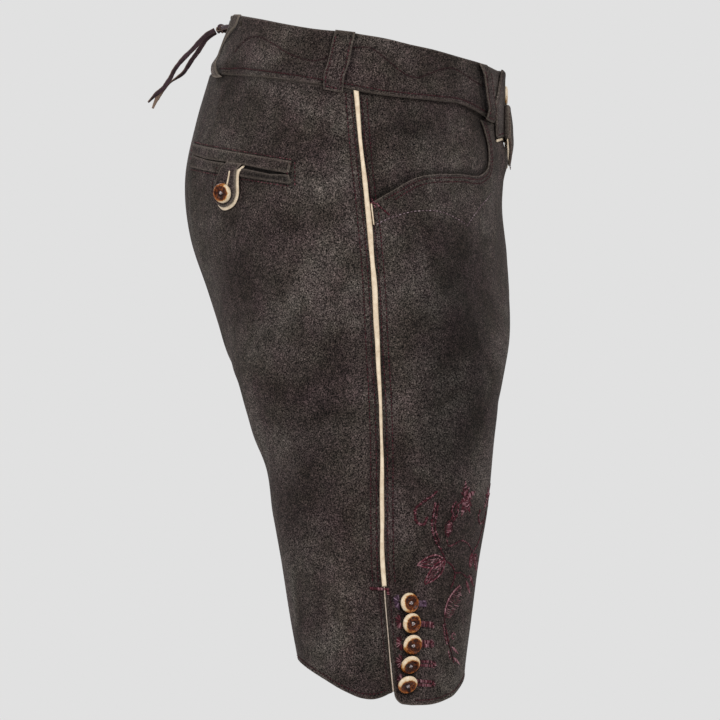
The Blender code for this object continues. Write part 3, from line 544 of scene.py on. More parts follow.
draw = random.Random(7)
CREASES_OF = {RIGHT: CREASES, LEFT: [
    c._replace(along=c.along + draw.uniform(-9, 9), level=c.level + draw.uniform(-8, 8),
               heading=c.heading + draw.uniform(-12, 12), height=c.height * draw.uniform(0.7, 1.15))
    for c in CREASES
]}


def ridges(along, level, creases):
    """The summed height of these creases at each point."""
    height = np.zeros(np.broadcast(along, level).shape)
    for crease in creases:
        heading = math.radians(crease.heading)
        over, up = along - crease.along, level - crease.level
        lengthways = over * math.cos(heading) + up * math.sin(heading)
        crossways = up * math.cos(heading) - over * math.sin(heading)
        shape = np.exp(-((crossways / crease.width) ** 2) - (lengthways / crease.length) ** 2)
        height += crease.height * shape
    return height


def folds(along, level):
    """The broad folds of the solids, which start below the waistband."""
    fade = soft_step((FOLDS_START - level) / (FOLDS_START - FOLDS_FULL))
    return ridges(along, level, FOLDS) * fade


def puckers(along, level):
    """Small uneven gathers that the side seam's sewing pulls in, dying away from the seam."""
    beat = np.sin(level / 2.9 + 1.7 * np.sin(level / 17)) * (0.6 + 0.4 * np.sin(level / 41))
    return 0.22 * beat * np.exp(-(((np.abs(along) - 6.5) / 4.0) ** 2))


def raised(height, side=RIGHT):
    """A face that keeps this height above the leather of one side, with its folds and creases."""
    def out(along, level):
        small = ridges(along, level, CREASES_OF[side]) * soft_step((CREASES_START - level) / CREASES_OVER)
        return folds(along, level) + small + puckers(along, level) * (level < CREASES_START) + height
    return out


def shade_in(draw, low, high):
    """A thread's shade: most of them are near the low one, and a few catch the light."""
    return low + (high - low) * draw.random() ** 1.8


def dye_and_light(along, level):
    """How much lighter, or darker where negative, each point is painted, for uneven dye and for painted
    light and shade: half at most.
    """
    return np.clip(ridges(along, level, DYE_AND_LIGHT_PATCHES), -0.5, 0.5)


print(len(FOLDS), "broad folds,", len(CREASES), "creases and", len(DYE_AND_LIGHT_PATCHES), "patches of dye on each side")

# %% [markdown]
# ## A sheet of leather
# A piece of leather is an outline drawn on the body and filled with points. Most points form a
# staggered lattice, 3 mm apart. More of them follow each cut edge, so that the edge can be rounded
# over, and each row of sewing, so that the thread can pull a groove into the leather. A Delaunay
# triangulation joins them all. The outer face and the inner face share the points of the cut edge.

# %% Routes and outlines
LEATHER = 2.0


def resampled(route, step, closed=False):
    """Points along a route, no further apart than the step."""
    route = np.array(route, float)
    if closed:
        route = np.vstack([route, route[:1]])
    parts = []
    for a, b in zip(route, route[1:]):
        n = max(1, math.ceil(np.linalg.norm(b - a) / step))
        parts.append(a + (b - a) * np.arange(n)[:, None] / n)
    if not closed:
        parts.append(route[-1:])
    return np.vstack(parts)


def distance_on(route):
    """How far along a route each of its points is."""
    return np.concatenate([[0], np.cumsum(np.linalg.norm(np.diff(route, axis=0), axis=1))])


def read_at(at, knots, values):
    """The pair of values at one place between the knots."""
    return np.array([np.interp(at, knots, values[:, k]) for k in (0, 1)])


def curve(knots, steps=6):
    """Points of a smooth curve through the knots, both ends included."""
    knots = np.array(knots, float)
    place_on = distance_on(knots)
    at = np.concatenate([
        np.linspace(a, b, steps, endpoint=False) for a, b in zip(place_on, place_on[1:])
    ] + [place_on[-1:]])
    return np.stack([smooth(at, place_on, column) for column in knots.T], axis=1)


def sideways(route, closed=False):
    """The unit vector to the left of a route at each of its points."""
    if closed:
        run = np.roll(route, -1, axis=0) - np.roll(route, 1, axis=0)
    else:
        run = np.gradient(np.asarray(route, float), axis=0)
    return unit(np.stack([-run[:, 1], run[:, 0]], axis=1))


def beside(route, distance):
    """The route moved that far to its left."""
    route = np.asarray(route, float)
    return route + sideways(route) * distance


def arc(centre, radius, start, end, steps=9):
    """Points of a round corner, angles in degrees."""
    angles = np.radians(np.linspace(start, end, steps + 1))
    return [(centre[0] + radius * math.cos(a), centre[1] + radius * math.sin(a)) for a in angles]


def against(points, outline):
    """Each point's distance to a closed outline, and whether it lies inside it."""
    outline = np.array(outline, float)
    nearest, within = np.full(len(points), np.inf), np.zeros(len(points), bool)
    for a, b in zip(outline, np.roll(outline, -1, axis=0)):
        side = b - a
        part = np.clip(((points - a) @ side) / max(side @ side, 1e-12), 0, 1)
        nearest = np.minimum(nearest, np.linalg.norm(points - a - part[:, None] * side, axis=1))
        rise = side[1] if side[1] else 1e-12
        crossing = points[:, 0] < a[0] + side[0] * (points[:, 1] - a[1]) / rise
        within ^= ((a[1] > points[:, 1]) != (b[1] > points[:, 1])) & crossing
    return nearest, within


def area_of(outline):
    """The area inside an outline, in square metres."""
    x, y = np.array(outline, float).T
    return abs(x @ np.roll(y, -1) - y @ np.roll(x, -1)) / 2 * MM * MM


# %% Tools for meshes
def tube(rings, around, first=0, capped=True):
    """The faces of a tube: rings of so many points, one after the other, from the point first on."""
    faces = [
        (first + r * around + j, first + r * around + (j + 1) % around,
         first + (r + 1) * around + (j + 1) % around, first + (r + 1) * around + j)
        for r in range(rings - 1) for j in range(around)
    ]
    last = first + (rings - 1) * around
    return faces + [tuple(range(at, at + around)) for at in (first, last)] * capped


def new_object(name, vertices, faces, material, numbers=None):
    """A smooth-shaded mesh object that rides on the garment. numbers are values stored per vertex."""
    mesh = bpy.data.meshes.new(name)
    mesh.from_pydata(np.asarray(vertices).tolist(), [], [tuple(map(int, f)) for f in faces])
    mesh.materials.append(material)
    for key, values in (numbers or {}).items():
        stored = mesh.attributes.new(key, "FLOAT", "POINT")
        stored.data.foreach_set("value", np.asarray(values, np.float32))
    bm = bmesh.new()
    bm.from_mesh(mesh)
    bmesh.ops.delete(bm, geom=[v for v in bm.verts if not v.link_faces], context="VERTS")
    bmesh.ops.recalc_face_normals(bm, faces=bm.faces)
    bm.to_mesh(mesh)
    bm.free()
    mesh.shade_smooth()
    made = bpy.data.objects.new(name, mesh)
    bpy.context.scene.collection.objects.link(made)
    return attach(made, "root")


def nearest_to(points, route):
    """Each point's distance to the nearest point of a dense route."""
    if not len(route):
        return np.full(len(points), np.inf)
    tree = KDTree(len(route))
    for i, p in enumerate(route):
        tree.insert((*p, 0.0), i)
    tree.balance()
    return np.array([tree.find((*p, 0.0))[2] for p in points])


# %% Points and triangles of a flat sheet
# How far from a cut edge the rows of points along it lie, and from the sewing those beside it. A point
# nearer than the last number is on the cut edge itself.
EDGE_ROWS = (0.35, 1.0, 2.2)
SEWN_ROWS = (-1.3, 0.0, 1.3)
ON_EDGE = 1e-3


def from_cuts(points, outline, holes):
    """Each point's distance to the nearest cut edge, and whether it lies on the leather."""
    near, within = against(points, outline)
    for hole in holes:
        near_hole, in_hole = against(points, hole)
        near, within = np.minimum(near, near_hole), within & ~in_hole
    return near, within


def flat_sheet(outline, holes, sewn, dark_lines, step):
    """The points, the triangles, and each point's distance to a cut edge."""
    def on_leather(points, distance):
        near, within = from_cuts(points, outline, holes)
        return points[within & (near > distance)]

    loops = [resampled(outline, step * 0.8, closed=True)]
    loops += [resampled(hole, 0.7, closed=True) for hole in holes]
    beside_sewing = [on_leather(beside(row, aside), 0.6) for row in sewn for aside in SEWN_ROWS]
    kept = np.vstack([np.zeros((0, 2)), *beside_sewing])
    for route, width, _ in dark_lines:
        for aside in (-0.9 * width, 0, 0.9 * width):
            line = on_leather(beside(route, aside), 0.5)
            kept = np.vstack([kept, line[nearest_to(line, kept) > 0.45]])
    for inset in EDGE_ROWS:
        rings = [loop + sideways(loop, closed=True) * inset * sign for loop in loops for sign in (1, -1)]
        ring = on_leather(np.vstack(rings), 0.93 * inset)
        kept = np.vstack([kept, ring[nearest_to(ring, kept) > 0.3]])
    low, high = loops[0].min(0), loops[0].max(0)
    rows_up = np.arange(low[1] + 0.4 * step, high[1], 0.87 * step)
    lattice = np.array([
        (x + 0.5 * step * (i % 2), y) for i, y in enumerate(rows_up) for x in np.arange(low[0], high[0], step)
    ]).reshape(-1, 2)
    lattice = on_leather(lattice, EDGE_ROWS[-1] * min(1, step / 3) + 0.45 * step)
    kept = np.vstack([kept, lattice[nearest_to(lattice, kept) > 0.62 * step]])

    edges, start = [], 0
    for loop in loops:
        ids = start + np.arange(len(loop))
        edges += zip(ids.tolist(), np.roll(ids, -1).tolist())
        start += len(loop)
    found = geometry.delaunay_2d_cdt([Vector(p) for p in np.vstack([*loops, kept])], edges, [], 0, 1e-5)
    points, faces = np.array([tuple(v) for v in found[0]]), np.array(found[2])
    faces = faces[from_cuts(points[faces].mean(1), outline, holes)[1]]
    near = from_cuts(points, outline, holes)[0]
    return points, faces[~(near < ON_EDGE)[faces].all(1)], near


# %% The sheet itself
# A row of sewing: how deep its groove is and how wide, and the low swelling on each side of it.
GROOVE, GROOVE_WIDTH = 0.32, 0.9
SWELL, SWELL_AT, SWELL_WIDTH = 0.16, 2.3, 1.1
ROLL_AT, ROLL_WIDTH = 1.9, 1.3


def hump(distance, width):
    """1 at no distance, fading to nothing a little beyond the width."""
    return np.exp(-((distance / width) ** 2))


def leather_sheet(name, outline, placing, out, material=suede, thick=LEATHER, step=3.0, rows=(),
                  holes=(), puff=0.0, rub=0.25, pull=1.3, turned=None, shadows=()):
    """A sheet with a rounded cut edge. out gives its outer face's height at (along, level). rows are
    the routes of its sewing and pull how deep it sits, puff the height of a soft roll just inside the
    edge and rub how pale the edge has worn. turned gives how much deeper the edge reaches where it is
    turned over the layer below. shadows are (route, width, depth): painted shadow lines where layers
    meet and in hollows, painted lighter instead where the depth is negative."""
    sewn = [resampled(row, 1.6) for row in rows]
    dark_lines = [(resampled(np.array(route, float), 1.2), width, depth) for route, width, depth in shadows]
    points, faces, near = flat_sheet(outline, holes, sewn, dark_lines, step)
    on_edge = near < ON_EDGE

    along, level = points.T
    face = np.asarray(out(along, level), float) + np.zeros(len(points))
    half = thick / 2
    rounding = half * (1 - np.sqrt(np.clip(1 - (1 - np.clip(near / min(1.1, thick), 0, 1)) ** 2, 0, 1)))
    if turned:
        thick = thick + turned(along, level) * (near < 2.0)
    from_row = nearest_to(points, np.vstack([np.zeros((0, 2)), *sewn]))
    pulled = pull * (GROOVE * hump(from_row, GROOVE_WIDTH) - SWELL * hump(from_row - SWELL_AT, SWELL_WIDTH))
    roll = puff * hump(near - ROLL_AT, ROLL_WIDTH)
    outer = placing(along, level, np.where(on_edge, face - half, face - rounding - pulled + roll))
    under = placing(along, level, face - thick + rounding)
    wear = rub * hump(near, 1.1) - 0.45 * pull * hump(from_row, 0.8)
    # Painted light and shade: the broad patches, then the painted shadow lines, lighter where the depth is negative.
    light = 1 + dye_and_light(along, level)
    for route, width, depth in dark_lines:
        light = light * (1 - depth * hump(nearest_to(points, route), width))
    twin = np.where(on_edge, np.arange(len(points)), len(points) + np.arange(len(points)))
    made = new_object(name, np.vstack([outer, under]), np.vstack([faces, twin[faces[:, ::-1]]]), material,
                      {"wear": np.concatenate([wear, np.zeros(len(points))]), "tone": np.tile(light - 1, 2)})
    print(f"{name}: {len(made.data.polygons)} faces, cut area {area_of(outline) * 1e4:.0f} square cm")
    return made


def cut_piece(made, outline, node, with_pieces=()):
    """Hide the solid that a leather sheet, cut to its outline, stands in for."""
    size = np.ptp(np.array(outline, float), axis=0) * MM
    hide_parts(node)
    float(area_of(outline))
    return made


def trim_piece(made, node):
    """A small piece in place of its solid."""
    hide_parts(node)
    return made


# %% [markdown]
# ## The lace
# A flat leather lace closes the gap at the back. It runs from a hole in each end of the band to a knot
# in the middle, and its two free ends hang down behind. They are cords of a known length: from the knot
# each one follows its own solid. A lace cut from hide has a dark face, a paler raw back, and it turns
# over here and there, so each ribbon gets a twist along its way.

# %% Ribbons
LACE_WIDTH, LACE_THICK = 3.9, 1.2
LACE_ENDS = {
    "upper": [
        (-2.3, 124.6, 35.9), (-2.6, 132.0, 31.6), (-2.8, 136.9, 26.7), (-3.0, 141.8, 21.1),
        (-3.2, 149.2, 13.7), (-3.2, 154.1, 8.2), (-3.0, 158.4, 2.1), (-2.8, 160.8, -2.9),
        (-2.6, 163.9, -7.8), (-2.6, 166.6, -11.5), (-2.8, 173.1, -17.0), (-3.2, 179.3, -23.4),
    ],
    "lower": [
        (2.3, 124.0, 34.6), (2.6, 130.8, 29.7), (2.8, 135.7, 22.9), (3.0, 139.9, 16.8),
        (3.2, 143.6, 11.9), (3.2, 146.7, 7.0), (3.0, 151.0, 0.8), (2.8, 155.3, -2.5),
        (2.6, 160.3, -6.0), (2.6, 164.5, -10.2), (2.8, 168.9, -15.1), (3.0, 172.6, -20.7),
        (3.4, 175.9, -28.1),
    ],
}


def ribbon(name, route, flat_side, width=LACE_WIDTH, thick=LACE_THICK, taper=0.75):
    """A flat strip along a route in millimetres; flat_side is the way its broad face looks at each
    point. Its ends narrow to the taper."""
    route, flat_side = np.asarray(route, float), np.asarray(flat_side, float)
    run = unit(np.gradient(route, axis=0))
    over = unit(np.cross(flat_side, run))
    face = np.cross(run, over)
    share = np.linspace(0, 1, len(route))
    half = width / 2 * (1 - (1 - taper) * np.clip((share - 0.9) / 0.1, 0, 1))
    half *= 1 + 0.05 * np.sin(share * 37) + 0.04 * np.sin(share * 91 + 1)
    section = [(-1, 0), (-0.9, 0.36), (-0.5, 0.5), (0.5, 0.5), (0.9, 0.36), (1, 0), (0.9, -0.36), (0.5, -0.5),
               (-0.5, -0.5), (-0.9, -0.36)]
    loops = [route + over * (x * half)[:, None] + face * y * thick for x, y in section]
    vertices = np.stack(loops, axis=1).reshape(-1, 3) * MM
    raw = np.tile([1.0, 0.3, 0, 0, 0.3, 1.0, 1.0, 1.0, 1.0, 1.0], len(route))
    return new_object(name, vertices, tube(len(route), len(section)), lace_leather, {"wear": raw})


def length_of(route):
    """The length of a route in space, in millimetres."""
    return float(np.linalg.norm(np.diff(route, axis=0), axis=1).sum())


# How far each free end is turned about its own line, in degrees, from the knot to its tip.
TWISTS = {"upper": [0, 12, -10, 20, 34, -8, 10, 55], "lower": [0, -18, 8, 26, 60, 96, 150, 170]}
for end, knots_of in LACE_ENDS.items():
    route = curve(knots_of, steps=5)
    twists = TWISTS[end]
    twist = np.radians(np.interp(np.linspace(0, 1, len(route)), np.linspace(0, 1, len(twists)), twists))
    aside = unit(np.cross(unit(np.gradient(route, axis=0)), (1.0, 0, 0)))
    broad = np.array([-1.0, 0, 0]) * np.cos(twist)[:, None] + aside * np.sin(twist)[:, None]
    free_end = ribbon(f"lace_free_{end}", route, broad, taper=0.45)
    trim_piece(free_end, f"lace_end_{end}")
    [tuple(p) for p in route * MM]

# %% The lace's runs and its knot
GUSSET_OUT, KNOT_LEVEL, KNOT_HALF = -3.8, 12.5, 5.2
KNOT_CENTRE = np.array([0.0, 119.8, 37.0])
for side, where in SIDES:
    to_back = float(reach(KNOT_LEVEL)[1])
    line = resampled([(-126.5, 15.0), (-(to_back - KNOT_HALF - SEAM_GAP), KNOT_LEVEL)], 2.0)
    rise = GUSSET_OUT + SEAM_GAP + LACE_THICK / 2 + 0.1 + 3.6 * soft_step((-line[:, 0] - (to_back - 46)) / 40)
    route = ON[side](line[:, 0], line[:, 1], rise)
    outward = ON[side](line[:, 0], line[:, 1], rise + 1) - route
    run = ribbon(f"lace_run_{where}", route / MM, outward / MM, taper=1.0)
    trim_piece(run, f"lace_{where}")

turns = np.linspace(0, 2 * math.pi, 91)[:-1]
loop = np.stack([
    (np.sin(turns) + 2 * np.sin(2 * turns)) * 1.15, (np.cos(turns) - 2 * np.cos(2 * turns)) * 1.05,
    -np.sin(3 * turns) * 2.1,
], axis=1)
tilt = Matrix.Rotation(math.radians(38), 3, "X") @ Matrix.Rotation(math.radians(70), 3, "Y")
loop = loop @ np.array(tilt).T + KNOT_CENTRE
around = np.vstack([loop, loop[:1]])
knot = ribbon("lace_knot_leather", around, around - KNOT_CENTRE + (0.01, 0, 0), width=3.6, taper=1.0)
trim_piece(knot, "lace_knot")
print("knot:", round(length_of(around)), "mm of lace")

# %% [markdown]
# ## The four panels
# Each leg is a back panel and a front panel, and each of them is cut in one from the waistband to the
# hem. They meet at the side seam, in the middle of the body, and down the inner leg. The front panel is
# cut away in a curve under the pocket, where a facing shows. Below the end of the side seam the two
# panels part in a short slit, and their corners at the hem are round.

# %% Outlines of the panels
PANEL_TOP, BAND_BOTTOM, BAND_TOP = -24.7, -24.4, 24.0
PIPING_END = -411.0
POCKET_EDGE = curve([
    (-2.2, -113.0), (18, -101), (43, -87), (90, -78.5),
    (134, -74), (146, -67), (150, -50), (143, -34), (135, PANEL_TOP),
])
# The sewing has drawn the side seam a little to the back: how far, at each level.
SEAM_DRIFT = curve([
    (0.0, -430), (-0.6, -400), (-0.5, -350), (0.0, -295), (-0.6, -262), (-1.5, -225), (-1.4, -180), (-1.6, -140),
    (-2.4, -110), (-2.7, -90), (-1.8, -60), (-0.6, -24.7),
])
BACK_HEM = curve([
    (-230, -476), (-160, -474), (-103, -475), (-62, -485), (-40, -493.6), (-26, -498.4), (-17, -499), (-9, -497),
    (-4.2, -494.8),
])
FRONT_HEM = curve([(14, -504), (34, -504), (58, -500), (88, -491), (130, -483), (212, -477)])
INSEAM_END = -475.0


def seam_line(aside, top=PANEL_TOP, bottom=PIPING_END):
    """The side seam, or a line beside it, from top to bottom."""
    levels = np.linspace(top, bottom, max(2, int((top - bottom) / 6)))
    return np.stack([aside + np.interp(levels, SEAM_DRIFT[:, 1], SEAM_DRIFT[:, 0]), levels], axis=1)


def inner_edge(at_back):
    """A panel's edge from the waist down the middle of the body, then down the inner leg."""
    levels = CROTCH + (PANEL_TOP - CROTCH) * np.linspace(1, 0, 60) ** 2
    levels = np.concatenate([levels, CROTCH + (INSEAM_END - CROTCH) * np.linspace(0, 1, 60)[1:] ** 1.3])
    to_front, to_back = reach(levels)
    gap = np.where(levels < CROTCH + 1, 2 * MIDDLE_GAP, 0)
    return np.stack([gap - to_back if at_back else to_front - gap, levels], axis=1)


def short_of(points, edge):
    """The hem's points that stop short of the inner leg."""
    return points[np.abs(points[:, 0]) < abs(edge[-1][0]) - 8]


back_edge, front_edge = inner_edge(at_back=True), inner_edge(at_back=False)
BACK = np.vstack([
    back_edge, short_of(BACK_HEM, back_edge), arc((-2.5, -492.4), 1.8, -90, 0, 4),
    seam_line(-SEAM_GAP / 2)[::-1],
])
FRONT = np.vstack([
    front_edge, short_of(FRONT_HEM, front_edge)[::-1], arc((9.2, -494.5), 9, 180, 250)[::-1],
    seam_line(SEAM_GAP / 2, -116.0)[::-1], POCKET_EDGE,
])
# The band's lower edge swings up over the pocket's mouth.
BAND_EDGE = curve([
    (-4, BAND_BOTTOM), (8, -24.3), (20, -23.9), (35, -22.7), (53, -20.8), (80, -17.9), (97, -16.4), (113, -17.2),
    (130, -19.4), (147, -21.6), (163, -23.6), (172, BAND_BOTTOM),
], 4)
FACING = np.vstack([
    [(168, -60), (160, -92), (120, -108), (60, -122)], seam_line(SEAM_GAP, PANEL_TOP, -136.0)[::-1],
    BAND_EDGE[2:-2] + (0, 6), [(170, -20)],
])
print("back panel:", round(area_of(BACK) * 1e4), "square cm, front panel:", round(area_of(FRONT) * 1e4))

# %% [markdown]
# ## Rows of sewing
# The side seam is sewn twice on each side of its piping. A double row follows the pocket's mouth, one
# row runs beside the slit and one above the hem. Below the pocket two paler rows are only ornament:
# an arch, and a line that climbs to the front. Each row is a route on the body. The panels take their
# grooves from the same routes that the stitches follow later.

# %% Routes of the sewing on the panels
# The five leg buttons from the top: their places, how far each leans to the front and down in
# degrees, the height of its seat over the leather at its middle, and which way its pale side looks:
# the side of its rim that carries a painted highlight.
LegButton = namedtuple("LegButton", "along level to_front down seat pale")
LEG_BUTTONS = [
    LegButton(17.1, -424.0, 14, -5, 0.2, 160), LegButton(17.7, -439.5, 11, 6, 0.2, 142),
    LegButton(17.1, -456.0, 3, 14, 0.1, 108), LegButton(13.6, -471.0, 2, 33, -0.4, 94),
    LegButton(9.8, -486.2, 0, 37, -0.2, 98),
]
SEAM_ROWS = (4.3, 8.7)
HEM_ROW = 4.0
back_rows = [
    *(seam_line(-x, PANEL_TOP - 3, PIPING_END + 1) for x in SEAM_ROWS),
    short_of(BACK_HEM, back_edge) + (0, HEM_ROW),
]
slit_rows = [[(-4.6, PIPING_END - 6), (-4.6, -486)], [(3.6, PIPING_END - 5), (3.8, -493)]]
pocket_mouth = POCKET_EDGE[4:-1]
mouth_fold = beside(pocket_mouth, -1.5)
front_rows = [
    *(seam_line(x, -118.0, PIPING_END + 1) for x in SEAM_ROWS),
    beside(pocket_mouth, -3.0), beside(pocket_mouth[2:], -6.6),
    short_of(FRONT_HEM, front_edge)[1:] + (0, HEM_ROW),
]
ornament_rows = [
    curve([(4, -128), (14, -122.8), (23, -119.4), (36, -115.4), (49, -113.4), (63, -112.8), (77, -115),
           (96, -121.5)]),
    curve([(98, -123), (109, -114), (125, -103), (139, -96), (152, -89.5)]),
]
facing_rows = [seam_line(x, PANEL_TOP - 3, -109.0) for x in SEAM_ROWS]
print(len(back_rows), "rows on a back panel,", len(front_rows) + len(ornament_rows), "on a front panel")

# %% Make the panels and the pocket facings
FACING_GAP = 1.0
PANELS_MOUTH = -LEATHER - FACING_GAP
# The mouth of the back pocket: its upper lip's edge, and how wide it gapes there.
MOUTH = np.array([(-200, -84), (-159, -87.6), (-135, -88.6), (-108, -90.2), (-81, -92.8), (-63.5, -94.2)])
MOUTH_GAPES = np.array([0.3, 0.6, 0.8, 2.6, 2.7, 0.8])
POCKET_TOP, POCKET_FOOT = np.array([(-208, -76.2), (-60, -85)]), np.array([(-203, -92.8), (-62, -102)])
mouth_middle = MOUTH - np.stack([0 * MOUTH_GAPES, MOUTH_GAPES / 2], axis=1)
tab_side = curve([(-149, -117), (-149.4, -111), (-143.8, -103), (-137.8, -96), (-130.8, -89.4)])
pocket_shadows = [(mouth_middle, 2.2, 0.95), (POCKET_TOP + (0, 1.0), 0.9, 0.4), (POCKET_FOOT - (0, 1.0), 1.0, 0.5),
                  (tab_side[:12], 2.0, 0.5), ([(-58.8, -84), (-60.6, -103)], 0.9, 0.4)]
slit = np.array([(-1.2, PIPING_END - 2), (-1.6, -488)])
back_shadows = [(seam_line(-3.0), 0.9, 0.45), (slit, 1.8, 0.75), ([(-205, -25.6), (-4, -25.6)], 1.5, 0.5)]
front_shadows = [(seam_line(3.0, -120.0), 0.9, 0.45), (slit + (2.4, 0), 1.2, 0.5)]
front_shadows += [(arc((spot.along + 1, spot.level - 1), 7.8, -150, 60, 16), 1.8, 0.45) for spot in LEG_BUTTONS]
facing_shadows = [(seam_line(3.0, PANEL_TOP, -112.0), 0.9, 0.45), (beside(POCKET_EDGE, 1.5), 2.6, 0.6),
                  (beside(BAND_EDGE, -1.2), 1.2, 0.15)]

for side, where in SIDES:
    placing, skin = ON[side], raised(0.0, side)
    panel = leather_sheet(f"back_panel_{where}", BACK, placing, skin, rows=[*back_rows, slit_rows[0]],
                          shadows=back_shadows + (pocket_shadows if side == RIGHT else []))
    cut_piece(panel, BACK, f"back_{where}")
    panel = leather_sheet(f"front_panel_{where}", FRONT, placing, skin, puff=0.35, rub=0.45,
                          rows=[*front_rows, mouth_fold, slit_rows[1], *ornament_rows], shadows=front_shadows)
    cut_piece(panel, FRONT, f"front_{where}")
    facing = leather_sheet(f"pocket_facing_leather_{where}", FACING, placing,
                           raised(PANELS_MOUTH, side), rows=facing_rows, shadows=facing_shadows)
    cut_piece(facing, FACING, f"pocket_facing_{where}")

# %% [markdown]
# ## The waistband
# The band is doubled leather, 48 mm high. Its back ends are cut on a slant with a round lower corner
# that stands loose of the panel, and a lace runs through a hole near each end. A soft roll along its
# lower edge shows where the leather is turned in. Behind the gap sits a wedge of plain leather.

# %% Make the waistband and the gusset
BAND_OUT, BAND_THICK = 1.0, 3.0
CORNER_START = -146.0
band_end = curve([
    (-130, 21.4), (-136, 12.6), (-149, 6.4), (-160.5, -0.8), (-169, -8.2), (-168, -15.6), (-157.5, -23.6),
    (-146, -26.6),
])
BAND = np.vstack([
    band_end, BAND_EDGE, [(180, 0)],
    curve([
        (198, BAND_TOP), (180, 22.4), (135, 22.8), (96, 22.2), (68, 22.4), (46, 21.8), (25, 22.1), (6, 21.2),
        (-7, 20.8), (-20, 19.4), (-35, 18.4), (-50, 18.3), (-68, 18.7), (-90, 19.7), (-112, 20.6),
    ], steps=3),
])
BAND_BINDING = np.vstack([
    curve([
        (-146, 22.4), (-158, 10), (-170, -3), (-179, -14), (-180.5, -21), (-173, -27.4), (-160, -29.2), (-147, -28.6),
    ], steps=3),
    beside(band_end, -1.6)[::-1],
])
LACE_HOLE = arc((-125.5, 14.6), 2.1, 0, 330, 11)
band_seam = [(-150, -22.8), (-120, -20.6), (0, -20.6), *(BAND_EDGE[8:-2] + (0, 3.8))]
wave = curve([
    (-131, -9), (-121, -2.5), (-109, 3.2), (-93, 5.4), (-74, 1), (-56, -5), (-32, -6.5), (-14, 3), (-1, 9),
    (12, 11.5), (27, 4), (40, -3), (51, -4), (62, 1), (72, 6), (88, 11), (104, 9), (118, 6), (134, 4), (150, 3),
    (168, 4),
])
# Each loop's near and far long edges, from its top to its foot.
LOOPS = {
    "side": ([(-15.2, 20.2), (-17.6, 9), (-21.2, -6), (-25.2, -18), (-27.0, -28.4)],
             [(0.8, 21.4), (-2.0, 9), (-5.4, -6), (-9.6, -18), (-11.4, -28.8)]),
    "front": ([(124.5, 21.6), (128.5, 8), (133, -6), (136.5, -15), (138.6, -24.8)],
              [(140.5, 22.2), (143.5, 8), (148.5, -6), (153.5, -15), (157.0, -25.4)]),
}
LOOP_EDGES = {where: [curve(edge, 4) for edge in edges] for where, edges in LOOPS.items()}
band_shadows = [(np.array(LACE_HOLE[:8]) - (0.6, 0.6), 1.6, 0.6)]
for near_edge, far_edge in LOOP_EDGES.values():
    band_shadows += [(near_edge - (1.0, 0), 1.5, 0.7), (far_edge + (0.8, 0), 1.0, 0.5),
                     ([near_edge[-1] - (0, 1), far_edge[-1] - (0, 1)], 1.3, 0.6)]


def band_face(along, level):
    """The loose lower corner stands clear of the back panel under it."""
    lift = soft_step((-level - 10) / 10) * soft_step((CORNER_START + 12 - along) / 10)
    soft = 0.35 * np.sin(along / 23 + 0.6) * np.sin(level / 15 + along / 60)
    return BAND_OUT + 2.6 * lift + soft * soft_step((22 - np.abs(level)) / 8)


GUSSET = [
    (-60, BAND_TOP - 2.2), (-92, BAND_TOP - 4), (-92, -25), (-72, -38), (0, -44), (72, -38), (92, -25),
    (92, BAND_TOP - 4), (60, BAND_TOP - 2.2), (0, BAND_TOP + 1),
]
for side, where in SIDES:
    band = leather_sheet(f"waistband_leather_{where}", BAND, ON[side], band_face, thick=BAND_THICK,
                         step=2.6, rows=[band_seam, wave], holes=[LACE_HOLE], puff=0.45, rub=0.3, pull=1.8,
                         shadows=[*band_shadows, (beside(band_end, 1.2), 2.4, 0.95)])
    # The binding: a painted shadow in the groove beside the band's end, and a broad band painted lighter.
    binding = leather_sheet(f"waistband_binding_{where}", BAND_BINDING, ON[side],
                            lambda a, l: band_face(a, l) + 0.3, thick=BAND_THICK, step=2.2, puff=0.2, rub=1.2,
                            shadows=[(beside(band_end, -2.2), 1.4, 0.9), (beside(band_end, -6.5), 7.0, -0.9)])
    cut_piece(band, BAND, f"waistband_{where}")
gusset = leather_sheet("gusset_leather", GUSSET, AT_BACK, lambda a, l: GUSSET_OUT, rub=0.8,
                       rows=[[(-86, 19.5), (0, 21), (86, 19.5)]])
cut_piece(gusset, GUSSET, "back_gusset")

# %% [markdown]
# ## The placket and its tab
# The front closes with a wide placket that lies over the band, and a rounded tab is buttoned over its
# middle. A thin layer of cream leather edges the tab, and cream piping is sewn under the placket.

# %% Make the placket and the front tab
PLACKET_TOP_HALF, PLACKET_HALF, PLACKET_BOTTOM = 37.0, 60.0, -38.5
PLACKET = [
    (-PLACKET_TOP_HALF, BAND_TOP), (PLACKET_TOP_HALF, BAND_TOP), (PLACKET_HALF, -6),
    (PLACKET_HALF, PLACKET_BOTTOM), (34, -34.6), (0, -33.6), (-34, -34.6), (-PLACKET_HALF, PLACKET_BOTTOM),
    (-PLACKET_HALF, -6),
]
# The tab's middle level and half its length, how far it bulges, and how far its end hangs back in.
TAB_MIDDLE, TAB_HALF_LENGTH, TAB_BULGE, TAB_HANGS_IN = -31.0, 27.0, 3.0, 1.2
TAB_LAYER = 1.2


def placket_face(from_middle, level):
    """The placket lies on the waistband, then steps down onto the front panels."""
    on_band = BAND_OUT + SEAM_GAP + LEATHER
    down = soft_step((-20 - level) / 12)
    return on_band + 0.2 + (SEAM_GAP + LEATHER + 0.6 - on_band) * down


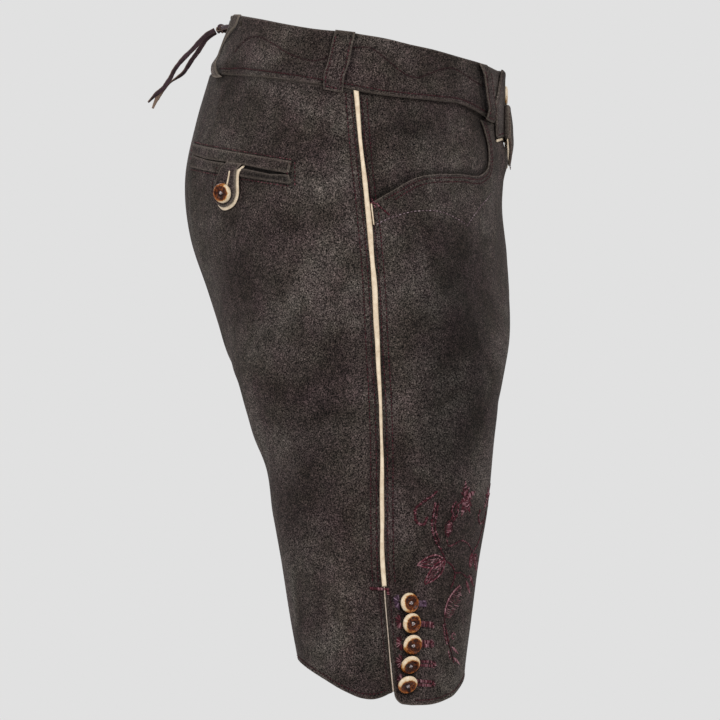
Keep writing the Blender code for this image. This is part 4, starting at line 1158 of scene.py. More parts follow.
def tab_seat(from_middle, level):
    """The cream layer's face: the tab bulges over the placket and hangs past its lower edge."""
    lengthways = np.clip(1 - ((level - TAB_MIDDLE) / TAB_HALF_LENGTH) ** 2, 0, 1)
    bulge = TAB_BULGE * lengthways * np.cos(from_middle / PLACKET_TOP_HALF)
    bulge = bulge - TAB_HANGS_IN * soft_step((-38 - level) / 18)
    return placket_face(from_middle, np.maximum(level, PLACKET_BOTTOM)) + SEAM_GAP + TAB_LAYER + bulge


def tab_face(from_middle, level):
    """The tab's own outer face."""
    return tab_seat(from_middle, level) + SEAM_GAP + LEATHER


def mirrored(half_outline):
    """A closed outline from its right half, listed from the top to the middle of the bottom."""
    return [(-x, y) for x, y in half_outline] + [(x, y) for x, y in half_outline[:-1]][::-1]


tab_half = [tuple(p) for p in curve([(24, -5), (30, -22), (31, -38), (19, -50), (7, -58), (0, -60)], 4)]
# The tab's edge is turned over its cream layer down to this level; below, the cream shows by so much.
EDGE_TURNED_TO, CREAM_SHOWS = -37.0, 2.2
backing_half = [
    (x - 3.0, y) if y > EDGE_TURNED_TO
    else (x + CREAM_SHOWS if x > 4 else x, y - (CREAM_SHOWS if y < -38 else 0))
    for x, y in tab_half
]
backing_half[0] = (21, -8.5)
TAB, BACKING = mirrored(tab_half), mirrored(backing_half)
PLACKET_PIPING = [
    (-58, -38.6), (-34, -34.9), (0, -33.9), (34, -34.9), (58, -38.6),
    (58, -41.5), (34, -37.8), (0, -36.8), (-34, -37.8), (-58, -41.5),
]

placket_rows = [
    [(-34, 20.5), (-57, -8), (-57, -35)], [(34, 20.5), (57, -8), (57, -35)],
    [(-56, -35), (-34, -31.4), (0, -30.4), (34, -31.4), (56, -35)],
]
placket = leather_sheet("placket_leather", PLACKET, AT_FRONT, placket_face, rows=placket_rows, puff=0.3)
tab_row = beside(np.array(TAB[2:-2]), -3.0)
tab = leather_sheet(
    "tab_leather", TAB, AT_FRONT, tab_face, step=2.4, rows=[tab_row], puff=0.3, rub=0.7,
    turned=lambda a, l: (tab_seat(a, l) - placket_face(a, l)) * (l > EDGE_TURNED_TO),
)
tab_cream = leather_sheet("tab_cream_layer", BACKING, AT_FRONT, tab_seat, cream, TAB_LAYER, step=2.4)
placket_cream = leather_sheet("placket_cream_piping", PLACKET_PIPING, AT_FRONT, lambda a, l: LEATHER,
                              cream, 1.6, step=1.5, rub=0.2)
cut_piece(tab, TAB, "front_tab",
          with_pieces=[trim_piece(tab_cream, "front_tab_backing")])
cut_piece(placket, PLACKET, "front_placket",
          with_pieces=[trim_piece(placket_cream, "placket_piping")])

# %% [markdown]
# ## Belt loops
# Four loops stand off the band by a belt's thickness and are sewn down at both ends. Each has a row of
# sewing along both edges, and one across its foot.

# %% Make the belt loops
LOOP_GAP, LOOP_ON = 3.6, BAND_OUT + SEAM_GAP + LEATHER + 0.1
loop_rows = {}
for where, (near_edge, far_edge) in LOOP_EDGES.items():
    outline = np.vstack([near_edge[::-1], far_edge])
    top, foot = near_edge[0, 1], near_edge[-1, 1]

    def loop_face(along, level, top=top, foot=foot):
        part = np.clip((level - foot) / (top - foot), 0, 1)
        return LOOP_ON + LOOP_GAP * np.clip(6 * part * (1 - part), 0, 1)

    rows = [(near_edge + (far_edge - near_edge) * share)[2:-1] for share in (0.13, 0.87)]
    rows.append(np.array([near_edge[-1] + (2.6, 2.3), far_edge[-1] + (-2.6, 2.3)]))
    loop_rows[where] = (rows, loop_face)
    for side, side_name in SIDES:
        loop = leather_sheet(f"loop_leather_{where}_{side_name}", outline, ON[side], loop_face, step=2.4, rows=rows,
                             puff=0.25, rub=0.45, pull=1.6)
        cut_piece(loop, outline, f"belt_loop_{where}_{side_name}")

# %% [markdown]
# ## The back pocket
# Only the right side has a back pocket: a slanting slit between two welts, with a tab that comes out of
# it and is buttoned down. The tab lies on a slightly larger layer of cream leather, and a cream line is
# sewn into it round the buttonhole.

# %% Make the back pocket's welts and tab
WELT_OUT = 1.7
lips = {
    "upper": np.vstack([POCKET_TOP, MOUTH[::-1]]),
    "lower": np.vstack([MOUTH - np.stack([0 * MOUTH_GAPES, MOUTH_GAPES], axis=1), POCKET_FOOT[::-1]]),
}
TAB_END, TAB_THICK = np.array([-128.6, -110.8]), 1.6
back_of_tab = [(-146.4, -117), (-147, -111), (-141.6, -103), (-135.8, -96), (-128.8, -88.4)]
TAB_LEATHER = np.vstack([
    [(-109.6, -89.6)],
    curve([(-113.2, -93), (-114.8, -98), (-115.8, -104.5), (-117.2, -111), (-121.5, -116.6), (-129.5, -120.0),
           (-138.5, -120.6), (-146.4, -117)], 5)[:-1],
    curve(back_of_tab, 4),
])
TAB_CREAM = np.vstack([
    curve([(-107.4, -90.6), (-112.2, -97), (-113.3, -104), (-114.6, -111.2), (-119.2, -117.6), (-128.4, -122.0),
           (-139, -122.8), (-147.8, -118.4)], 5)[:-1],
    curve(np.array(back_of_tab[1:-1]) + (0.9, 0), 4), [(-128, -95), (-114, -93.6), (-110.4, -90.6)],
])


def tab_base(along, level):
    """The tab lies on the lower welt, and settles towards the panel below it."""
    settle = soft_step((-102 - level) / 16)
    from_mouth = level - np.interp(along, MOUTH[:, 0], MOUTH[:, 1])
    return raised(WELT_OUT + SEAM_GAP)(along, level) - 1.2 * settle - 2.6 * soft_step((from_mouth + 6) / 6)


def pocket_tab_face(along, level):
    """The outer face of the tab's dark leather."""
    return tab_base(along, level) + TAB_LAYER + SEAM_GAP + TAB_THICK


lip_shadows = {
    "upper": [], "lower": [(tab_side, 1.6, 0.6), ([(-104, -96.4), (-84, -97.2), (-65, -98.4)], 4.6, 0.62)],
}
for lip, outline in lips.items():
    # The welts' pale edges are wear and a painted highlight along their lips.
    welt = leather_sheet(f"welt_leather_{lip}", outline, ON[RIGHT], raised(WELT_OUT), thick=WELT_OUT - SEAM_GAP,
                         step=2.2, puff=0.5, rub=0.4, shadows=lip_shadows[lip])
    trim_piece(welt, f"pocket_welt_{lip}")
tab_layer = leather_sheet("pocket_tab_cream_layer", TAB_CREAM, ON[RIGHT], lambda a, l: tab_base(a, l) + TAB_LAYER,
                          cream, TAB_LAYER, step=1.8)
pocket_tab = leather_sheet("pocket_tab_leather", TAB_LEATHER, ON[RIGHT], pocket_tab_face, thick=TAB_THICK, step=1.8,
                           rub=0.6)
cut_piece(pocket_tab, TAB_LEATHER, "pocket_tab",
          with_pieces=[trim_piece(tab_layer, "pocket_tab_backing")])

# %% [markdown]
# ## Piping
# A strip of cream leather covers each side seam. It was cut by hand and pulled by the sewing, so its
# width changes a little from place to place. Below it the front panel's edge along the slit is bound in
# a thinner strip. On the right a second thin strip marks the mouth of the narrow knife pocket.

# %% Make the piping
def piping(name, route, width, placing, height, thick, wander=0.0, seed=0, material=cream):
    """A crowned strip along a route: seven points across, rounded like a bent strip of leather. width
    is one number or, as pairs, the width at each level."""
    route = resampled(route, 2.0)
    draw = random.Random(seed)
    phase = [draw.uniform(0, 6.28) for _ in range(4)]
    level = route[:, 1]
    if not np.isscalar(width):
        width = np.interp(level, *np.array(sorted(width)).T)
    half = width / 2 * (1 + wander * (np.sin(level / 11 + phase[0]) + 0.7 * np.sin(level / 27 + phase[1])))
    drift = width * wander * 0.5 * (np.sin(level / 19 + phase[2]) + np.sin(level / 7.3 + phase[3]))
    left = sideways(route)
    loops = []
    for share, rise in ((-1, 0.35), (-0.86, 0.78), (-0.45, 0.97), (0, 1), (0.45, 0.97), (0.86, 0.78), (1, 0.35),
                        (0.8, 0), (-0.8, 0)):
        spot = route + left * (share * half + drift)[:, None]
        loops.append(placing(spot[:, 0], spot[:, 1], height(spot[:, 0], spot[:, 1]) - thick * (1 - rise)))
    vertices = np.stack(loops, axis=1).reshape(-1, 3)
    worn = np.tile([0.9, 0.35, 0.05, 0.0, 0.05, 0.35, 0.9, 0.9, 0.9], len(route))
    return new_object(name, vertices, tube(len(route), len(loops)), material, {"wear": worn})


# Level and width: it was cut by eye.
PIPING_WIDTHS = [
    (-25, 4.6), (-41, 3.6), (-58, 2.9), (-75, 3.2), (-95, 4.0), (-107, 3.5), (-138, 4.3), (-158, 3.6), (-172, 4.3),
    (-193, 4.1), (-208, 4.6), (-228, 4.0), (-250, 2.9), (-270, 2.2), (-281, 2.5), (-295, 2.2), (-325, 2.9),
    (-357, 3.8), (-368, 3.2), (-390, 3.5), (-411, 3.6),
]
PIPING_OUT, SLIT_OUT = 1.7, 1.2
for side, where in SIDES:
    strip = piping(f"seam_piping_{where}", seam_line(0), PIPING_WIDTHS, ON[side], raised(PIPING_OUT, side),
                   PIPING_OUT - SEAM_GAP, wander=0.07, seed=3 + side)
    trim_piece(strip, f"side_piping_{where}")
    strip = piping(f"slit_edge_{where}", [(-0.6, PIPING_END - SEAM_GAP), (-0.6, -493)], 0.9, ON[side],
                   raised(SLIT_OUT, side), SLIT_OUT - SEAM_GAP, wander=0.12, seed=8 + side, material=rubbed_cream)
    trim_piece(strip, f"slit_piping_{where}")
knife_edge = piping("knife_pocket_strip", [(0.9, -112), (1.7, -128.5)], 1.2, ON[RIGHT], raised(1.4), 1.1, 0.05, 5)
trim_piece(knife_edge, "knife_pocket_edge")
print("piping strips:", len([o for o in bpy.data.objects if cream in list(getattr(o.data, "materials", []))]))

# %% [markdown]
# ## Stitches
# A stitch is a short length of round thread whose ends dive into the leather. All stitches of one kind
# are made together as one mesh: each is a small spindle of five cross sections, and numpy places them
# all at once. A list of stitches is an array of start points and end points in (along, level), with
# each one's width, height and shade.

# %% One mesh from many threads
Thread = namedtuple("Thread", "start end width lift shade")
SPINDLE = ((0.0, 0.0, -0.45), (0.12, 0.7, 0.0), (0.5, 1.0, 0.16), (0.88, 0.7, 0.0), (1.0, 0.0, -0.45))
RING = 6


def thread_mesh(name, threads, placing, height, material):
    """One object from a list of threads that lie on the face given by height."""
    start, end, width, lift, shade = (np.array(column, float) for column in zip(*threads))

    def on_face(spots, extra):
        return placing(spots[:, 0], spots[:, 1], height(spots[:, 0], spots[:, 1]) + extra)

    middle = (start + end) / 2
    outward = unit(on_face(middle, 1.0) - on_face(middle, 0.0))
    over = np.cross(unit(on_face(end, 0) - on_face(start, 0)), outward)
    vertices = []
    for share, size, rise in SPINDLE:
        centre = on_face(start + (end - start) * share, lift + rise * width)
        if size == 0:
            vertices.append(centre[:, None])
            continue
        turns = np.arange(RING) * 2 * math.pi / RING
        ring = (np.cos(turns)[None, :, None] * over[:, None] + 0.8 * np.sin(turns)[None, :, None]
                * outward[:, None]) * (size * width / 2 * MM)[:, None, None]
        vertices.append(centre[:, None] + ring)
    per = sum(v.shape[1] for v in vertices)
    points = np.concatenate(vertices, axis=1).reshape(-1, 3)
    shape = []
    for j in range(RING):
        k = (j + 1) % RING
        shape += [(0, 1 + k, 1 + j), (per - 1, per - 1 - RING + j, per - 1 - RING + k)]
        shape += [(1 + r * RING + j, 1 + r * RING + k, 1 + (r + 1) * RING + k, 1 + (r + 1) * RING + j)
                  for r in range(len(SPINDLE) - 3)]
    faces = [tuple(i * per + v for v in face) for i in range(len(threads)) for face in shape]
    new_object(name, points, faces, material, {"shade": np.repeat(shade, per)})
    print(f"{name}: {len(threads)} threads")


def row_of(route, pitch=3.1, length=2.4, width=0.75, lift=-0.12, shade=(0.2, 0.7), seed=1, slant=0.0):
    """Running stitches along a route; slant turns each a little, as an overlapping stem stitch has."""
    draw = random.Random(seed)
    route = resampled(route, 0.5)
    travelled, left = distance_on(route), sideways(route)
    threads, at = [], length / 2
    while at < travelled[-1] - length / 2:
        spot, over = read_at(at, travelled, route), read_at(at, travelled, left)
        ahead = np.array([over[1], -over[0]])
        half = ahead * length * draw.uniform(0.44, 0.54) + over * slant * length
        middle = spot + over * draw.uniform(-0.12, 0.12)
        threads.append(Thread(middle - half, middle + half, width * draw.uniform(0.9, 1.1), lift,
                              shade_in(draw, *shade)))
        at += pitch * draw.uniform(0.94, 1.06)
    return threads


def rows_of(routes, seed, **stitch):
    """Running stitches along several routes, each of them with a seed of its own."""
    return [thread for i, route in enumerate(routes) for thread in row_of(route, seed=seed + i, **stitch)]


print("a stitch of 2.4 mm has", RING * (len(SPINDLE) - 2) + 2, "vertices")

# %% Sew the seams
for side, where in SIDES:
    threads = rows_of([*back_rows, *front_rows], 20)
    # The slit's stitches take only the darkest shades: painted shade in the slit's groove.
    for row in slit_rows:
        threads += row_of(row, shade=(0.0, 0.2), lift=-0.3, seed=18)
    thread_mesh(f"panel_sewing_{where}", threads, ON[side], raised(0.0, side), wine_thread)
    thread_mesh(f"facing_sewing_{where}", rows_of(facing_rows, 50), ON[side], raised(PANELS_MOUTH, side), wine_thread)
    threads = rows_of(ornament_rows, 60, pitch=3.7, length=2.5, width=0.95, lift=-0.1, shade=(0.2, 1.0))
    thread_mesh(f"ornament_sewing_{where}", threads, ON[side], raised(0.0, side), mauve_thread)
    threads = row_of(band_seam, seed=70) + row_of(wave, width=0.7, lift=-0.4, shade=(0.0, 0.25), seed=75)
    thread_mesh(f"band_sewing_{where}", threads, ON[side], band_face, wine_thread)
    for loop, (rows, face) in loop_rows.items():
        thread_mesh(f"loop_sewing_{loop}_{where}", rows_of(rows, 80, lift=-0.02), ON[side], face, wine_thread)
thread_mesh("placket_sewing", rows_of(placket_rows, 90), AT_FRONT, placket_face, wine_thread)
thread_mesh("tab_sewing", row_of(tab_row, seed=95), AT_FRONT, tab_face, wine_thread)

# %% [markdown]
# ## Sewing of the back pocket
# One row runs round on the two welts and holds them, and a second one follows it on the panel, beside
# their edge. The cream line on the tab is a folded strip of the cream leather.

# %% Sew the back pocket
on_welts = [
    POCKET_TOP + (0, -2.2), POCKET_FOOT + (0, 2.0), [(-204.5, -80), (-200.5, -90)], [(-63.4, -87), (-65.2, -99)],
]
on_panel = [beside(POCKET_TOP, 1.4), beside(POCKET_FOOT, -1.6), [(-57.8, -85), (-59.6, -103)]]
threads = rows_of(on_welts, 100, width=0.95, shade=(0.3, 1.2))
thread_mesh("welt_sewing", threads, ON[RIGHT], raised(WELT_OUT), wine_thread)
threads = rows_of(on_panel, 110, width=0.95, shade=(0.2, 1.1))
thread_mesh("pocket_sewing", threads, ON[RIGHT], raised(0.0), wine_thread)
on_tab = curve([
    (-138, -93), (-143.5, -101), (-147, -109), (-146, -115), (-139, -118), (-129, -114.5), (-123, -107),
])
threads = row_of(on_tab, shade=(0.0, 0.3), seed=120, lift=-0.05)
thread_mesh("pocket_tab_sewing", threads, ON[RIGHT], pocket_tab_face, wine_thread)
hole_line = curve([(-120.6, -95.5), (-122.2, -100), (-124.6, -105), (-127.0, -108.5)])
tab_line = piping("pocket_tab_cream_line", hole_line, 1.3, ON[RIGHT],
                  lambda a, l: pocket_tab_face(a, l) + 0.7, 0.9, 0.08, 6)

# %% [markdown]
# ## Bartacks and buttonholes
# Where a seam or a slit ends, the thread goes back and forth over it into a thick bar, a bartack. The
# leg's buttonholes are worked by hand in rayon: a fan of threads spreads round the end under each
# button, and two lips of short threads run along the slit of the hole to a bar at its far end. The
# first one was worked in violet, the others in wine.

# %% Bars, fans and lips
def bar(start, end, width, seed=1, pitch=0.55, lift=0.2, thread=0.75):
    """Threads packed side by side across a line from start to end."""
    draw = random.Random(seed)
    start, end = np.array(start, float), np.array(end, float)
    over = sideways(np.array([start, end]))[0]
    count = max(2, int(np.linalg.norm(end - start) / pitch))
    threads = []
    for i in range(count):
        spot = start + (end - start) * (i + 0.5) / count
        half = over * width / 2 * draw.uniform(0.85, 1.12)
        slip = (end - start) / count * draw.uniform(-0.6, 0.6)
        threads.append(Thread(spot - half + slip, spot + half - slip, thread, lift, shade_in(draw, 0.0, 0.95)))
    return threads


def fan(centre, inner, outer, first, last, rays, seed=1, squash=1.0):
    """Threads that spread from a centre like rays; angles in degrees, 0 to the front, 90 up."""
    draw = random.Random(seed)
    threads = []
    for angle in np.radians(np.linspace(first, last, rays)):
        way = np.array([math.cos(angle), math.sin(angle) * squash])
        threads.append(Thread(centre + way * inner, centre + way * outer * draw.uniform(0.85, 1.1),
                              draw.uniform(0.7, 0.9), 0.1, shade_in(draw, 0.0, 1.0)))
    return threads


# Each buttonhole: where its fan and its far end are, how far it drops on the way, and its lips' width.
HOLES = [(7.4, 31.5, -1.4, 2.2), (7.6, 38.0, -2.4, 2.2), (6.8, 37.0, -1.2, 2.8), (6.0, 38.0, -2.2, 2.0),
         (4.6, 36.5, -2.6, 2.0)]


def buttonhole(number, button, hole):
    """The threads of one buttonhole."""
    fan_at, far, drop, lip = hole
    slope = drop / (far - button.along)
    near = np.array([fan_at + 3.0, button.level + 1.0])
    end = np.array([far, near[1] + slope * (far - near[0])])
    begin = np.array([button.along + 5.5, near[1] + slope * (button.along + 5.5 - near[0])])
    over = sideways(np.array([begin, end]))[0]
    threads = fan(near, 0.6, 5.2, 96, 266, 17, number, 1.25)
    gap = 0.5 if number > 3 else 0.0
    for sign in (1, -1):
        shift = over * (gap + lip / 2) * sign
        threads += bar(begin + shift, end - (end - begin) * 0.12 + shift, lip + 0.8, 10 * number + sign, 0.42, 0.15)
    tip = end - (end - begin) * 0.05
    threads += bar(tip - over * (lip + gap + 0.5), tip + over * (lip + gap + 0.5), 2.4, 40 + number, 0.6, 0.35)
    threads += fan(tip, 0.8, 3.4, -52, 52, 5, 60 + number)
    return threads


holes = [buttonhole(i, *pair) for i, pair in enumerate(zip(LEG_BUTTONS, HOLES), 1)]
bars = {
    "seam_end_bartack": [((-12.0, -412.4), (3.6, -413.4), 2.6, 2, 0.5, 1.0, 0.85),
                         ((1.8, -413), (2.2, -417.5), 2.4, 3, 0.5, 0.8, 0.8)],
    "pocket_corner_bartacks": [((1.6, -107.5), (4.4, -115.5), 1.7, 4, 0.55),
                               ((6.0, -112.2), (15.4, -119.6), 1.6, 5, 0.6, 0.3, 0.85),
                               ((-0.6, -111.4), (6.6, -111.6), 1.5, 6, 0.6, 0.6)],
}
for side, where in SIDES:
    skin = raised(0.0, side)
    thread_mesh(f"first_buttonhole_{where}", holes[0], ON[side], skin, violet_silk)
    thread_mesh(f"leg_buttonholes_{where}", sum(holes[1:], []), ON[side], skin, wine_silk)
    for name, parts in bars.items():
        thread_mesh(f"{name}_{where}", sum((bar(*part) for part in parts), []), ON[side], skin, wine_silk)

# %% [markdown]
# ## Embroidery
# A traditional vine climbs the front of each leg beside the buttons: a flower, knotted scrolls, a pair
# of leaves, a feathered leaf and small buds along one stem. It is worked in a few old stitches. A stem
# stitch lays slanted threads end over end into a cord, a French knot is a bead of thread, and a satin
# stitch lays threads side by side. Every motif is drawn from a few points on the body.

# %% Stem stitch, knots, leaves and petals
def stem(route, shade=(0.0, 0.7), width=0.85, seed=1):
    """A cord of overlapping slanted threads."""
    return row_of(route, 1.5, 2.8, width * 1.25, 0.1, shade, seed, slant=0.16)


def knots(route, pitch=2.3, size=1.25, seed=1, shade=(0.0, 0.85)):
    """French knots along a route: each is a pair of short crossed threads."""
    draw = random.Random(seed)
    threads = []
    for spot in resampled(route, pitch):
        spot = spot + (draw.uniform(-0.35, 0.35), draw.uniform(-0.35, 0.35))
        turn = draw.uniform(0, math.pi)
        for angle in (turn, turn + 1.5):
            half = np.array([math.cos(angle), math.sin(angle)]) * size * 0.8
            threads.append(Thread(spot - half, spot + half, size * 0.8, 0.3, shade_in(draw, *shade)))
    return threads


def leaf_edges(base, tip, swell):
    """Both edges of a pointed leaf, from its base to its tip."""
    base, tip = np.array(base, float), np.array(tip, float)
    run = tip - base
    over = np.array([-run[1], run[0]]) / np.linalg.norm(run)
    return [curve([base, base + run * 0.3 + over * swell * s, base + run * 0.68 + over * swell * 0.8 * s, tip])
            for s in (1, -1)]


def leaf(base, tip, swell, seed=1):
    """A pale cord round a dark one, and loose seed stitches inside."""
    draw = random.Random(seed)
    threads = []
    for sign, edge in zip((1, -1), leaf_edges(base, tip, swell)):
        threads += stem(edge, (0.45, 1.0), 0.9, seed)
        threads += stem(beside(edge, -0.95 * sign)[3:-3], (0.0, 0.25), 0.8, seed + 1)
    upper, lower = leaf_edges(base, tip, swell * 0.55)
    for i in range(3, len(upper) - 3):
        for share in (0.2, 0.5, 0.8):
            spot = upper[i] + (lower[i] - upper[i]) * (share + draw.uniform(-0.12, 0.12))
            half = (upper[i + 1] - upper[i - 1]) * 0.32
            threads.append(Thread(spot - half, spot + half, 0.7, 0.0, draw.uniform(0.2, 1.0)))
    return threads


def satin(base, tip, swell, seed=1, shade=(0.2, 1.0)):
    """A narrow petal of threads laid side by side across it on a slant."""
    draw = random.Random(seed)
    upper, lower = leaf_edges(base, tip, swell)
    count = max(4, int(np.linalg.norm(np.array(tip) - base) / 0.8))
    threads = []
    for share in (np.arange(count) + 0.5) / count:
        at = share * (len(upper) - 1)
        i = int(at)
        one = upper[i] + (upper[i + 1] - upper[i]) * (at - i)
        j = min(i + 2, len(lower) - 1)
        threads.append(Thread(one, lower[j], 0.8, 0.12, draw.uniform(*shade)))
    return threads


BARBS = 19


def feather(spine, side_points, seed=1):
    """A leaf with one corded edge, and barbs that run from it to the points of its other edge."""
    draw = random.Random(seed)
    spine, rim = curve(spine), curve(side_points)
    threads = stem(spine, (0.6, 1.0), 0.95, seed) + stem(beside(spine, 1.1), (0.0, 0.3), 0.85, seed + 1)
    for share in (np.arange(BARBS) + 0.5) / BARBS:
        start, end = (read_at(share, np.linspace(0, 1, len(edge)), edge) for edge in (spine, rim))
        reach_out = draw.uniform(0.75, 1.0)
        middle = start + (end - start) * 0.5 * reach_out + (0.4, -0.5)
        threads.append(Thread(start, middle, 0.65, 0.0, draw.uniform(0.0, 0.8)))
        threads.append(Thread(middle, start + (end - start) * reach_out, 0.65, 0.0, draw.uniform(0.1, 1.0)))
    return threads


print("a leaf of 20 mm takes", len(leaf((0, 0), (20, 0), 4)), "threads")

# %% Draw the vine
def flower(centre, petals, seed):
    """Petals given by (angle, length), and a cluster of knots in the middle."""
    centre = np.array(centre, float)
    threads = []
    for i, (angle, length) in enumerate(petals):
        way = np.array([math.cos(math.radians(angle)), math.sin(math.radians(angle))])
        threads += satin(centre + way * 1.2, centre + way * length, length * 0.2, seed + i, (0.0, 1.0))
        threads += stem(np.array([centre + way * 2.0, centre + way * length * 0.97]), (0.0, 0.3), 0.6, seed + i)
    return threads + knots(np.array([centre + (-2.4, 0.5), centre + (0, -1.6), centre + (2.2, 0.8)]), 1.5, 1.3, seed)


main_stem = curve([
    (43.5, -347), (42, -355), (40.5, -364), (44, -376), (51, -386), (54, -391), (62, -396.5), (65, -402),
    (63, -409), (58, -415),
])
bud_edges = leaf_edges((59, -360), (55, -374), 3.6)
vine = [
    *flower((77.5, -342.5), [(96, 13), (64, 9), (16, 13.5), (-12, 8), (-44, 11), (-66, 14), (-90, 12), (-112, 16),
                             (-150, 10), (150, 8), (122, 9)], 3),
    *flower((122, -343), [(60, 12), (120, 9), (10, 11), (-60, 10), (-136, 14), (170, 9)], 23),
    *knots(main_stem[:24], 2.1, 1.6, 5), *knots(beside(main_stem[:20], 2.8), 2.2, 1.4, 6),
    *stem(main_stem[22:], (0.0, 0.5), 0.95, 7),
    *knots(curve([(45, -338), (38, -342.5), (32, -346), (27, -350), (25.8, -356), (28, -362), (33, -363),
                  (36, -358)]), 2.2, 1.6, 8),
    *stem(curve([(73, -346), (66, -348.5), (62.5, -355), (59, -361)]), (0.0, 0.5), 0.9, 9),
    *knots(curve([(64.5, -346), (60, -352), (63, -358)]), 2.1, 1.5, 10),
    *knots(curve([(68, -348), (66, -356), (60, -363), (58, -370)]), 2.4, 1.4, 32),
    *satin((58.5, -361.5), (55.5, -372.5), 2.6, 11), *stem(bud_edges[0], (0.0, 0.3), 0.8, 12),
    *stem(bud_edges[1], (0.0, 0.3), 0.8, 13),
    *stem(curve([(55, -375), (57, -380), (64, -379), (72, -376.5), (84, -380), (92, -387)]),
          (0.0, 0.7), 0.8, 14),
    *leaf((53, -390.5), (26.8, -394.5), 4.6, 15), *leaf((54, -391.5), (32, -410), 4.3, 16),
    *feather([(72.5, -411.5), (61, -418), (54, -426.5), (50.8, -436)],
             [(75, -413), (76, -421), (70, -430), (60, -438)], 17),
    *satin((82, -408), (90, -419), 2.0, 18), *satin((88, -404), (100, -414), 2.0, 19),
    *stem(curve([(65, -402), (74, -402), (84, -406), (94, -404)]), (0.0, 0.6), 0.8, 20),
    *stem(curve([(50.8, -436), (51.5, -441), (53.5, -448), (56, -457), (60, -466), (62, -473)]),
          (0.0, 0.5), 1.0, 21),
    *knots(curve([(49.5, -442), (51, -450), (53.5, -457)]), 3.0, 1.2, 22),
    *stem(np.array(arc((62.5, -451.5), 2.3, 0, 330, 14)), (0.3, 0.9), 0.7, 24),
    *satin((59.5, -459.5), (69.5, -466), 1.4, 25, (0.5, 1.0)),
    *satin((60.5, -468), (73, -474.5), 1.4, 26, (0.5, 1.0)), *satin((55, -462), (57.5, -470), 1.1, 27),
    *leaf((96, -388), (112, -402), 4.0, 28), *leaf((92, -387), (88, -399), 2.6, 29),
    *stem(curve([(92, -387), (106, -378), (116, -366), (121, -354)]), (0.0, 0.6), 0.85, 30),
    *knots(curve([(112, -362), (104, -364), (99, -359), (102, -353)]), 2.4, 1.3, 31),
]
for side, where in SIDES:
    thread_mesh(f"vine_embroidery_{where}", vine, ON[side], raised(0.0, side), wine_silk)

# %% [markdown]
# ## Horn buttons
# The buttons are turned from stag or cow horn, polished. Cut across, horn is pale at the outside and
# goes through honey to a brown that is nearly black in the middle, with drifting bands. On one side of
# each rim the pale horn is painted wider and paler still: a painted highlight where the light falls.
# Each button is a turned shape: a thick rim round a dished face, with a flat floor that four holes go
# through. The turned part comes from a half section spun round, and the floor is a disc with its holes
# cut out.

# %% Finish: horn
horn, tree, shader, place_mm = new_material("polished_horn", 0.3, IOR=1.5, Specular_IOR_Level=0.12)
# The ring value: the depth in the horn, raised on each button's pale side as a painted highlight.
horn_depth_and_light = add(tree, "Attribute", {"attribute_name": "ring"}, out="Fac")
horn_depth_and_light = add(tree, "Math", TIMES_PLUS, {0: horn_depth_and_light, 1: 1.0, 2: -0.23})
bands = add(tree, "TexNoise", None, lumps(place_mm, 4.2, 3.0, 0.6, 1.4))
drift = add(tree, "Math", {"operation": "MULTIPLY_ADD"}, {0: bands, 1: 1.1, 2: horn_depth_and_light})
layer = add(tree, "Math", TIMES_PLUS, {0: drift, 1: 0.72, 2: -0.10})
horn_tone = add(tree, "ValToRGB", None, {"Fac": layer}, stops=[
    (0.10, "0C0504"), (0.24, "260F08"), (0.36, "5A2A10"), (0.48, "8A5022"), (0.58, "A87C4A"), (0.70, "BEA684"),
    (0.92, "CDBFA8"),
])
streaks = add(tree, "TexNoise", None, lumps(place_mm, 0.9, 2.0, 0.6))
streak_tone = add(tree, "ValToRGB", None, {"Fac": streaks}, stops=[(0.3, "3A3A3A"), (0.7, "C4C4C4")])
finished(tree, shader, add(tree, "Mix", {"data_type": "RGBA", "blend_type": "OVERLAY"},
                           {0: 0.22, 6: horn_tone, 7: streak_tone}, out=2))
print("finish:", horn.name)

# %% Turn a button
BUTTON_THICK = 4.3
FLOOR, UNDERSIDE = 0.68, 0.03
# Radius as a share of the button's, height as a share of its thickness, and the depth in the horn on its
# dark side and on its pale side, which is also a painted highlight where the light falls on the rim.
PROFILE = [
    (0.35, UNDERSIDE, 0.1, 0.1), (0.70, 0.0, 0.4, 0.6), (0.85, 0.04, 0.45, 0.8), (0.95, 0.16, 0.45, 0.9),
    (0.99, 0.34, 0.45, 1.0), (1.0, 0.50, 0.45, 1.0), (0.985, 0.64, 0.45, 1.0), (0.94, 0.78, 0.45, 1.0),
    (0.88, 0.90, 0.43, 0.95), (0.82, 0.97, 0.42, 0.75), (0.77, 1.0, 0.40, 0.42), (0.71, 0.96, 0.32, 0.32),
    (0.62, 0.84, 0.20, 0.20), (0.52, 0.74, 0.02, 0.02), (0.42, 0.69, 0.0, 0.0), (0.35, FLOOR, 0.08, 0.08),
]
FLOOR_SHARE, HOLE_AT, HOLE_SHARE = 0.35, 0.18, 0.07
FLOOR_DEPTH = 0.10
OFF_CENTRE = 0.10
SPIN, HOLE_SIDES = 48, 10


def wheel_of(count):
    """That many points round a circle of radius 1."""
    turns = np.arange(count) * 2 * math.pi / count
    return np.stack([np.cos(turns), np.sin(turns)], axis=1)


